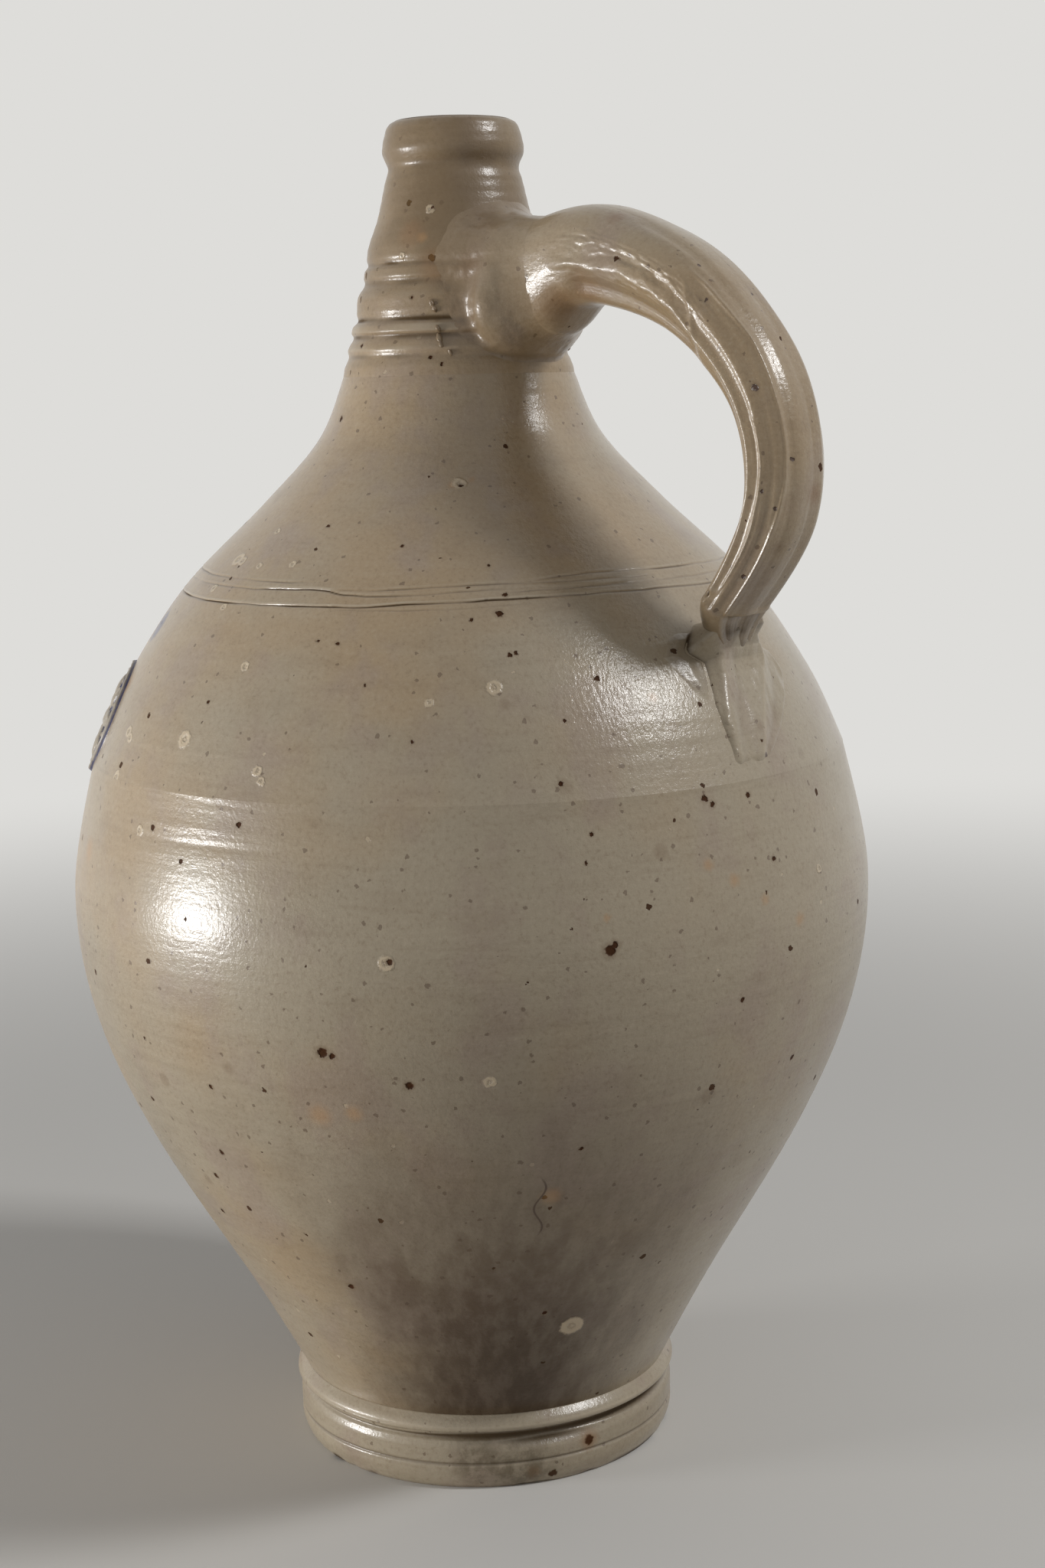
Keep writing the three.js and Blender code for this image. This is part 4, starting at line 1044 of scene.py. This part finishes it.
# HANDLE ROOT
# Soft clay wiped from the strap's upper end onto the neck: feathered out over the neck at the
# top and side, and left as a thick overhanging lobe underneath. Slip squeezed out beside it.
ROOT_CORE = np.array([10, 0, neck_joint + 23])
SMEAR_AROUND = 49
SMEAR_MIDDLE = neck_joint + 26
SMEAR_UP = 19.5
SMEAR_DOWN = 20.5
SMEAR_THICKNESS = 1.5
SMEAR_MARGIN = 1.17
ROOT_REACH = 18
ROOT_ROWS = 80
BACK_ROWS = 14
LOBE_SPREAD = 3
LOBE_FLARE = 6
LOBE_MIDDLE = 31.5
LOBE_LENGTH = 7.5
BEAD_ROWS = 14
BEAD_SIDES = 20
# Beads of squeezed slip: degrees round the neck, height, and size.
SLIP_BEADS = [
    (-58, 347.2, 0.9), (-56.5, 345.6, 0.8), (-54.2, 340, 0.9), (-53.6, 337.4, 1.1),
    (-52.6, 335.6, 0.8), (-48, 333.2, 0.7), (52, 338, 1.1), (49, 334.5, 0.9),
]


def neck_radius(height):
    return np.interp(height, neck_outline[:, 1], neck_outline[:, 0])


def smear_depth(x, y, z):
    """How far the wiped clay stands off the neck; less than nothing past its edge."""
    around = np.degrees(np.arctan2(y, x)) / SMEAR_AROUND
    rise = z - SMEAR_MIDDLE
    rise = rise / np.where(rise > 0, SMEAR_UP, SMEAR_DOWN)
    edge = 1 + 0.14 * unevenness(3 * around, 3 * rise, 0, 61)
    off = (np.abs(around) ** 2.5 + np.abs(rise) ** 2.5) / edge
    return np.maximum(SMEAR_THICKNESS * (1 - off), -1.6)


def root_skin(spot):
    """Distance outside the root clay: the strap run on into the neck, flaring, and the smear."""
    x, y, z = spot[..., 0], spot[..., 1], spot[..., 2]
    near = (STRAP_STATIONS[0][0] - x) / ROOT_REACH
    near = np.clip(near, -0.5, 1.3)
    spread = rising(near, 0, 0.8)
    level = root_height + (x - STRAP_STATIONS[0][0]) * along[0, 1] / along[0, 0]
    low = rising(level - z, -4, 13)
    flare = LOBE_SPREAD * spread + LOBE_FLARE * low * dent(x - LOBE_MIDDLE, LOBE_LENGTH)
    half_wide = ROOT_WIDTH / 2 + flare - STRAP_SHRINK
    up = STRAP_STATIONS[0][2] / 2 + 1.5 * spread - STRAP_SHRINK
    lobe = rising(near, -LOBE_START / ROOT_REACH, LOBE_START / ROOT_REACH)
    down = STRAP_STATIONS[0][2] / 2 + LOBE_DROP * lobe - STRAP_SHRINK
    half_tall = np.where(z > level, up, down)
    power = STRAP_SQUARENESS
    ratio = (np.abs(y / half_wide) ** power + np.abs((z - level) / half_tall) ** power)
    shaft = (ratio ** (1 / power) - 1) * np.minimum(half_wide, half_tall)
    pad = np.sqrt(x**2 + y**2) - neck_radius(z) - smear_depth(x, y, z)
    blend = 2.5 + 6 * rising(z, root_height - 12, root_height + 6)
    share = np.clip(0.5 + 0.5 * (pad - shaft) / blend, 0, 1)
    return pad + (shaft - pad) * share - blend * share * (1 - share)


def met_from_outside(start, ways, skin, far=62, near=4, tries=260):
    """Where rays from a point inside leave the skin for the last time."""
    reach = np.linspace(far, near, tries)
    outside = skin(start + ways[..., None, :] * reach[:, None])
    inside = outside < 0
    first = np.argmax(inside, axis=-1)
    before = np.maximum(first - 1, 0)
    a = np.take_along_axis(outside, before[..., None], -1)[..., 0]
    b = np.take_along_axis(outside, first[..., None], -1)[..., 0]
    share = np.where(first > 0, a / (a - b + 1e-9), 0)
    return start + ways * (reach[before] + share * (reach[first] - reach[before]))[..., None]


def way_to(spots):
    ways = spots - ROOT_CORE
    return ways / np.linalg.norm(ways, axis=-1)[..., None]


def under_the_skin(spot):
    """Distance outside a surface just under the neck's own."""
    return np.sqrt(spot[..., 0] ** 2 + spot[..., 1] ** 2) - neck_radius(spot[..., 2]) + 2.4


edge_around = np.radians(SMEAR_AROUND * SMEAR_MARGIN * squared(np.cos(turn)))
edge_rise = squared(np.sin(turn)) * np.where(np.sin(turn) > 0, SMEAR_UP, SMEAR_DOWN)
edge_height = SMEAR_MIDDLE + edge_rise * SMEAR_MARGIN
edge_radius = neck_radius(edge_height) - 1.4
contact = np.stack(
    [edge_radius * np.cos(edge_around), edge_radius * np.sin(edge_around), edge_height], 1
)
out_way, edge_way = way_to(strap_rings[0]), way_to(contact)
share = np.linspace(0, 1, ROOT_ROWS)[:, None, None]
ways = out_way * (1 - share) + edge_way * share
ways /= np.linalg.norm(ways, axis=-1)[..., None]
root_rings = met_from_outside(ROOT_CORE, ways, root_skin)
root_across = np.broadcast_to(turn, root_rings.shape[:2])
root_down = np.broadcast_to(-20 * share[..., 0], root_rings.shape[:2])
lift, root_stain = fingered(root_down, root_across)
knead = unevenness(*(root_rings.transpose(2, 0, 1) / 4.5), 62)
knead = 0.25 * knead + 0.12 * unevenness(*(root_rings.transpose(2, 0, 1) / 1.8), 63)
fade = 1 - rising(share[..., 0], 0.75, 1)
root_rings += way_to(root_rings) * ((0.9 * lift + knead) * fade)[..., None]
joined = rising(share, 0, 0.2)
root_rings = strap_rings[0] * (1 - joined) + root_rings * joined
share = np.linspace(0.97, 0.03, BACK_ROWS)[:, None, None]
ways = out_way * (1 - share) + edge_way * share
ways /= np.linalg.norm(ways, axis=-1)[..., None]
back_rings = met_from_outside(ROOT_CORE, ways, under_the_skin)
root_rings = np.concatenate([strap_rings[2:0:-1], root_rings, back_rings])
root_stain = np.concatenate([strap_stain_and_shade[2:0:-1], 0.6 * root_stain, np.zeros(back_rings.shape[:2])])
root_clay = lofted("handle_root", root_rings, root_stain)
root_clay.data.materials.append(strap_glaze)
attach(root_clay, "root")
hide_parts("handle_root_clay")

for i, (degrees, height, size) in enumerate(SLIP_BEADS):
    rings = []
    spin = np.arange(BEAD_SIDES) * 2 * math.pi / BEAD_SIDES
    for tilt in np.linspace(0.12, math.pi - 0.12, BEAD_ROWS):
        lumpy = 1 + 0.2 * unevenness(2 * np.cos(spin), 2 * np.sin(spin), 3 * tilt, 70 + i)
        sideways = size * 0.75 * np.sin(tilt) * np.cos(spin) * lumpy
        out = size * 0.7 * np.sin(tilt) * np.sin(spin) * lumpy
        upward = -size * 1.25 * np.cos(tilt) * np.ones(BEAD_SIDES)
        angle = math.radians(degrees) + (sideways - 0.3 * upward) / neck_radius(height)
        radius = neck_radius(height + upward) + 0.1 + out
        rings.append(np.stack([radius * np.cos(angle), radius * np.sin(angle), height + upward], 1))
    bead = lofted(f"root_slip_bead_{i + 1}", np.array(rings))
    bead.data.materials.append(strap_glaze)
    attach(bead, "root")

# HANDLE TAIL
# A pad of soft clay under the strap's cut end, drawn down the shoulder with the thumb into a
# tapering tongue: two ridges with a hollow between them, a torn crease on the left, and a thin
# smear beyond it.
TAIL_ROWS = 230
TAIL_COLUMNS = 200
TAIL_HEIGHTS = (261, 217)
TAIL_DEGREES = (-14, 21)
TAIL_TIP_HEIGHT = 219.5
TAIL_RISE = 30
TAIL_DEPTH = 2.4
TAIL_BLUR = 13
# How far the pad under the strap's end stands off the shoulder, as (height, amount).
TAIL_PAD = [
    (215, 0), (236, 0.2), (243, 0.5), (246, 1.2), (248.2, 2.6), (249.6, 5.2), (250.8, 8.6),
    (253, 9.6),
]
# The tail's features down the shoulder, as (height, degrees round the jug).
SMEAR_EDGE = [
    (218, -5), (236, -5.6), (243.6, -8.4), (249.5, -10.5), (252, -9), (256, -7.5), (264, -7),
]
CREASE = [
    (218, -3.6), (230.4, -4.2), (236.4, -4.2), (243, -3.2), (247, -2.6), (249.7, -5), (251, -5),
    (256, -2), (262, 0),
]
TONGUE_LEFT = [
    (218, -3.2), (232.2, -2.9), (241.9, -0.8), (247, -0.4), (249, -2), (250.4, -3.4),
    (251.4, -3.2), (256, 0), (262, 2),
]
HOLLOW = [(218, -2), (229.7, -0.8), (240, 2.2), (246.1, 3), (249, 1.5), (262, 1)]
SHARP_RIDGE = [
    (218, 1.2), (221.5, 2.4), (235.3, 6.5), (245.3, 11.2), (248, 10.5), (249.5, 8.4), (262, 8.4),
]
RIGHT_HOLLOW = [
    (218, 1.6), (221.5, 3.2), (229.7, 7.6), (240, 12.6), (246.6, 13.4), (249.5, 10.2), (262, 10),
]
TONGUE_RIGHT = [
    (218, 2), (221, 3.8), (228, 9.2), (236.3, 15), (241.9, 18), (247, 16.6), (250, 12.5),
    (262, 12),
]
TAIL_IRON = [(3, 253, 0.9), (9, 247.5, 0.7), (13, 240, 0.6), (6.5, 237, 0.7), (3, 221.5, 1.0)]


def way_down(stations, height):
    stations = np.array(stations, float)
    return np.interp(height, stations[:, 0], stations[:, 1])


def tail_lift(degrees, height):
    """How far the tail stands off the shoulder, and its grime and wear, with painted shade in the
    hollows and under the strap's cut end.
    """
    taper = np.clip((height - TAIL_TIP_HEIGHT) / TAIL_RISE, 0, 1) ** 0.8
    smear, crease = way_down(SMEAR_EDGE, height), way_down(CREASE, height)
    left, hollow = way_down(TONGUE_LEFT, height), way_down(HOLLOW, height)
    ridge, right_hollow = way_down(SHARP_RIDGE, height), way_down(RIGHT_HOLLOW, height)
    right = way_down(TONGUE_RIGHT, height)
    flat = np.zeros_like(taper)
    smeared = rising(height, 236, 243)
    pad = way_down(TAIL_PAD, height)
    high = rising(height, 245, 249)
    # From left to right across the tail: a place in degrees, and how far the clay stands off.
    profile = [
        (smear - 1.2, flat - 0.6),
        (smear, flat),
        ((smear + crease) / 2, 1.0 * smeared - 0.1),
        (crease - 0.5, 0.7 * smeared - 0.1),
        (crease + 0.4, -0.25 + 0.5 * taper),
        (left, 0.6 + 2.3 * taper + pad),
        (hollow, 0.1 + 1.1 * taper + 1.6 * high + pad),
        ((hollow + ridge) / 2, 0.3 + 1.5 * taper + high + pad),
        (ridge, 0.6 + 2 * taper + pad),
        (right_hollow, 0.05 + 0.6 * taper + 0.55 * pad),
        (right, 0.2 + 0.4 * taper + 0.05 * pad),
        (right + 1.4, flat - 0.6),
    ]
    stop_table = np.sort(np.stack([stop for stop, _ in profile], -1), -1)
    lift_table = np.stack([amount for _, amount in profile], -1)
    lift = np.zeros_like(degrees)
    for row in range(len(degrees)):
        lift[row] = np.interp(degrees[row], stop_table[row, 0], lift_table[row, 0])
    blur = np.hanning(TAIL_BLUR) / np.hanning(TAIL_BLUR).sum()
    lift = np.apply_along_axis(lambda line: np.convolve(line, blur, "same"), 1, lift)
    past = rising(height, 253, 258) + 1 - rising(height, 217.5, 222)
    lift = lift * (1 - past) - past
    torn = 0.8 * dent(degrees - crease, 0.42) * rising(height, 221, 226)
    torn = torn * (1 - rising(height, 252, 255))
    beads = rising(unevenness(degrees * 1.9, height / 1.5, 0, 81), 0.1, 0.7)
    beads = 0.4 * beads * dent(degrees - crease - 0.9, 0.5) * dent(height - 230, 8)
    kneaded = 0.22 * unevenness(degrees / 1.6, height / 7, 0, 82)
    kneaded = kneaded + 0.07 * unevenness(degrees / 0.9, height / 2.5, 0, 83)
    solid = rising(lift, -0.2, 0.4)
    # Darker along the crease and in the hollows, paler on the ridge and the tongue's left edge; the
    # darkening in the hollows is painted shade as well as grime.
    stain_and_shade = 0.9 * dent(degrees - crease, 0.45) - 0.55 * dent(degrees - ridge, 0.6)
    stain_and_shade = stain_and_shade + 0.2 * dent(degrees - right_hollow, 1.3) - 0.35 * dent(degrees - left, 0.9)
    stain_and_shade = stain_and_shade + 0.22 * dent(degrees - hollow, 1.2) + 0.4 * smeared * (degrees < crease)
    # Under the strap's cut end: grimy clay and painted shade.
    stain_and_shade = stain_and_shade + 0.6 * rising(height, 249, 251) * (degrees > left)
    return lift - torn + beads + kneaded * solid, stain_and_shade * solid


tail_rows = np.linspace(*TAIL_HEIGHTS, TAIL_ROWS)
tail_columns = np.linspace(*TAIL_DEGREES, TAIL_COLUMNS)
column, row = np.meshgrid(tail_columns, tail_rows)
lift, tail_stain_and_shade = tail_lift(column, row)
angle = np.radians(column)
out, up = wall_normal(row)
top = wall_radius(row) - 0.2 + out * lift
outer = np.stack([top * np.cos(angle), top * np.sin(angle), row + up * lift], -1)
deep = wall_radius(row) - out * TAIL_DEPTH
under = np.stack([deep * np.cos(angle), deep * np.sin(angle), row - up * TAIL_DEPTH], -1)
tail_rings = np.concatenate([outer, under[:, ::-1]], 1)
tail_stain_and_shade = np.concatenate([tail_stain_and_shade, 0 * tail_stain_and_shade], 1)
tail = lofted("handle_tail", tail_rings, tail_stain_and_shade)

glaze = Glaze("tail_glaze")
colour, rough = salt_glaze(glaze, warmth=-0.12)
spot = glaze.nearness(on_wall(upper_outline, TAIL_IRON))
colour = glaze.tint(glaze.ramp(spot, 1.05, 0.75, 0, 0.9), colour, IRON)
tail.data.materials.append(glaze.finish(colour, rough, coat=0.75))
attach(tail, "root")
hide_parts("handle_tail_clay")

# ROSETTES
# Three small flowers pressed on from one mould round the front, across the joint of the body's
# two halves: a double rim, eight petals and a boss. Cobalt blue was brushed into the hollows
# before firing.
ROSETTE_RADIUS = 18.5
ROSETTE_MIDDLE_ABOVE_SEAM = 12.5
ROSETTE_PETALS = 8
ROSETTE_ANGLES = {"rosette_front": 180, "rosette_right": 231, "rosette_left": 129}
FIELD_LIFT = 0.35
PETAL_REACH = 9.2
ROSETTE_RINGS = 110
ROSETTE_SPOKES = 256
ROSETTE_DEPTH = 1.8
BACK_EVERY = 12
ROSETTE_CLAY = shade(160, 156, 148)

rosette_height = seam + ROSETTE_MIDDLE_ABOVE_SEAM
belly_outline = np.concatenate([lower_outline, upper_outline[1:]])


def belly_radius(height):
    return np.interp(height, belly_outline[:, 1], belly_outline[:, 0])


def pressed(reach, spoke):
    """The mould's relief at a place in the flower, and how much blue lies there."""
    share = 2 * math.pi / ROSETTE_PETALS
    local = ((spoke / share + 0.5) % 1 - 0.5) * share
    aside = reach * np.sin(local)
    petal = 1 - ((reach - PETAL_REACH) / 4.3) ** 2 - (aside / 2.7) ** 2
    petal = np.sqrt(np.clip(petal, 0, 1))
    between = reach * np.sin(share / 2 - np.abs(local))
    bud = dent(reach - 12.4, 1.0) * dent(between, 0.9)
    boss = np.sqrt(np.clip(1 - (reach / 3.4) ** 2, 0, 1))
    relief = 1.2 * petal - 0.3 * petal * dent(aside, 0.45) + 0.7 * bud + 1.2 * boss
    rims = 0.6 * dent(reach - 17.2, 0.7) + 0.5 * dent(reach - 14.8, 0.6)
    wobble = 0.12 * unevenness(reach / 2 * np.cos(spoke), reach / 2 * np.sin(spoke), 0, 91)
    edge = 1 - rising(reach, ROSETTE_RADIUS - 1.3, ROSETTE_RADIUS)
    lift = (FIELD_LIFT + relief + rims + wobble) * edge - 0.3 * (1 - edge)
    field = (1 - rising(relief, 0.12, 0.5)) * (1 - rising(reach, 13.9, 14.4))
    lines = 0.9 * dent(reach - 15.9, 0.45) + 0.9 * dent(reach - 18.1, 0.6)
    return lift, np.clip(field + lines + 0.15 * wobble, 0, 1)


glaze = Glaze("rosette_glaze")
blue = glaze.ramp(glaze.stain_and_shade, 0.1, 0.75)
patchy = glaze.ramp(glaze.cloud(5, 3, 0.6), 0.25, 0.5, 0.45, 1)
glaze.stain_and_shade = 0.0
colour, rough = salt_glaze(glaze, warmth=-0.1)
colour = glaze.tint(0.45, colour, ROSETTE_CLAY)
colour = glaze.tint(glaze.times(blue, patchy, 0.92), colour, COBALT)
rosette_glaze = glaze.finish(colour, rough, coat=0.35)
reaches = np.linspace(0.15, ROSETTE_RADIUS, ROSETTE_RINGS)
spokes = np.linspace(0, 2 * math.pi, ROSETTE_SPOKES, endpoint=False)
spoke, reach = np.meshgrid(spokes, reaches)
lift, blue_lay = pressed(reach, spoke)
for name, degrees in ROSETTE_ANGLES.items():
    height = rosette_height + reach * np.sin(spoke) * wall_normal(rosette_height)[0]
    out, up = wall_normal(height, belly_radius)
    angle = math.radians(degrees) + reach * np.cos(spoke) / belly_radius(height)
    top = belly_radius(height) - 0.25 + out * lift
    rings = np.stack([top * np.cos(angle), top * np.sin(angle), height + up * lift], -1)
    low = belly_radius(height) - ROSETTE_DEPTH
    back = np.stack([low * np.cos(angle), low * np.sin(angle), height], -1)[::-BACK_EVERY]
    none = np.zeros(back.shape[:2])
    rosette = lofted(
        name + "_moulded", np.concatenate([rings, back]), np.concatenate([blue_lay, none])
    )
    rosette.data.materials.append(rosette_glaze)
    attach(rosette, "root")
    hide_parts(name)

# STUDIO
# A plain pale floor, one soft lamp low on the left and one above on the right, and the camera.
BACKGROUND = shade(222, 221, 218)
FLOOR_COLOUR = shade(214, 212, 208)
FLOOR_SIZE = 12
FLOOR_FADES = (350, 1300)
CAMERA_DISTANCE = 0.725
CAMERA_HEIGHT = 0.323
CAMERA_BEARING = math.radians(46)
CAMERA_PITCH = math.radians(9.429)
CAMERA_ROLL = math.radians(-1.371)
CAMERA_YAW = math.radians(1.270)
FOCAL_PIXELS = 3121.7
PHOTO_LONG_SIDE = 2048
FILL = 0.25
JUG_MIDDLE = Vector((0, 0, 0.2))
SENSOR_WIDTH = 36
# Each lamp's bearing and elevation in degrees, distance and size in metres, and level.
LAMPS = {
    "key": (28, 43, 1.6, (0.27, 0.27), 0.43),
    "window": (-124, -3.4, 1.4, (0.36, 0.22), 0.74),
}


def seen_directly(tree):
    """1 for the rays that see a surface: camera, glossy and transmission rays; 0 for the rest."""
    path = tree.nodes.new("ShaderNodeLightPath")
    total = path.outputs["Is Camera Ray"]
    for ray in ("Is Glossy Ray", "Is Transmission Ray"):
        node = tree.nodes.new("ShaderNodeMath")
        node.operation = "ADD"
        node.use_clamp = True
        tree.links.new(total, node.inputs[0])
        tree.links.new(path.outputs[ray], node.inputs[1])
        total = node.outputs[0]
    return total


world = bpy.data.worlds.new("studio")
bpy.context.scene.world = world
world.use_nodes = True
nodes, links = world.node_tree.nodes, world.node_tree.links
fill = nodes["Background"]
fill.inputs["Color"].default_value = (1, 1, 1, 1)
fill.inputs["Strength"].default_value = FILL
backdrop = nodes.new("ShaderNodeBackground")
backdrop.inputs["Color"].default_value = BACKGROUND
chosen = nodes.new("ShaderNodeMixShader")
links.new(seen_directly(world.node_tree), chosen.inputs[0])
links.new(fill.outputs[0], chosen.inputs[1])
links.new(backdrop.outputs[0], chosen.inputs[2])
links.new(chosen.outputs[0], nodes["World Output"].inputs["Surface"])

floor_mesh = bpy.data.meshes.new("floor")
half = FLOOR_SIZE / 2
floor_mesh.from_pydata(
    [(-half, -half, 0), (half, -half, 0), (half, half, 0), (-half, half, 0)], [], [(0, 1, 2, 3)]
)
floor = bpy.data.objects.new("floor", floor_mesh)
bpy.context.scene.collection.objects.link(floor)
table = Glaze("floor_surface")
table.shader.inputs["Base Color"].default_value = FLOOR_COLOUR
table.shader.inputs["Roughness"].default_value = 0.9
away = table.vector("LENGTH", table.place)
far = table.times(seen_directly(table.tree), table.ramp(away, *FLOOR_FADES))
glow = table.add("ShaderNodeEmission")
glow.inputs["Color"].default_value = BACKGROUND
mixed = table.add("ShaderNodeMixShader")
table.feed(mixed.inputs[0], far)
table.feed(mixed.inputs[1], table.shader.outputs[0])
table.feed(mixed.inputs[2], glow.outputs[0])
table.feed(table.tree.nodes["Material Output"].inputs["Surface"], mixed.outputs[0])
floor.data.materials.append(table.material)

cos, sin = math.cos, math.sin

# The lamps are aimed at the jug's middle. One of level 1 would light white to white.
for name, (bearing, elevation, distance, size, level) in LAMPS.items():
    light = bpy.data.lights.new(name, "AREA")
    light.shape = "RECTANGLE"
    light.size, light.size_y = size
    light.energy = math.pi**2 * level * distance**2
    stand = bpy.data.objects.new(name, light)
    bearing, elevation = math.radians(bearing), math.radians(elevation)
    level_reach = cos(elevation)
    toward = Vector((cos(bearing) * level_reach, sin(bearing) * level_reach, sin(elevation)))
    stand.location = JUG_MIDDLE + toward * distance
    stand.rotation_euler = toward.to_track_quat("Z", "Y").to_euler()
    bpy.context.scene.collection.objects.link(stand)

forward = Vector(
    (
        sin(CAMERA_YAW) * cos(CAMERA_PITCH),
        cos(CAMERA_YAW) * cos(CAMERA_PITCH),
        -sin(CAMERA_PITCH),
    )
)
right = Vector((cos(CAMERA_YAW), -sin(CAMERA_YAW), 0))
up = right.cross(forward)
level_right = cos(CAMERA_ROLL) * right + sin(CAMERA_ROLL) * up
level_up = -sin(CAMERA_ROLL) * right + cos(CAMERA_ROLL) * up
facing = Matrix((level_right, level_up, -forward)).transposed().to_4x4()
lens = bpy.data.cameras.new("camera")
lens.sensor_width = SENSOR_WIDTH
lens.lens = SENSOR_WIDTH * FOCAL_PIXELS / PHOTO_LONG_SIDE
camera = bpy.data.objects.new("camera", lens)
camera.matrix_world = (
    Matrix.Rotation(CAMERA_BEARING, 4, "Z")
    @ Matrix.Translation((0, -CAMERA_DISTANCE, CAMERA_HEIGHT))
    @ facing
)
bpy.context.scene.collection.objects.link(camera)
bpy.context.scene.camera = camera
bpy.context.scene.view_settings.view_transform = "Standard"
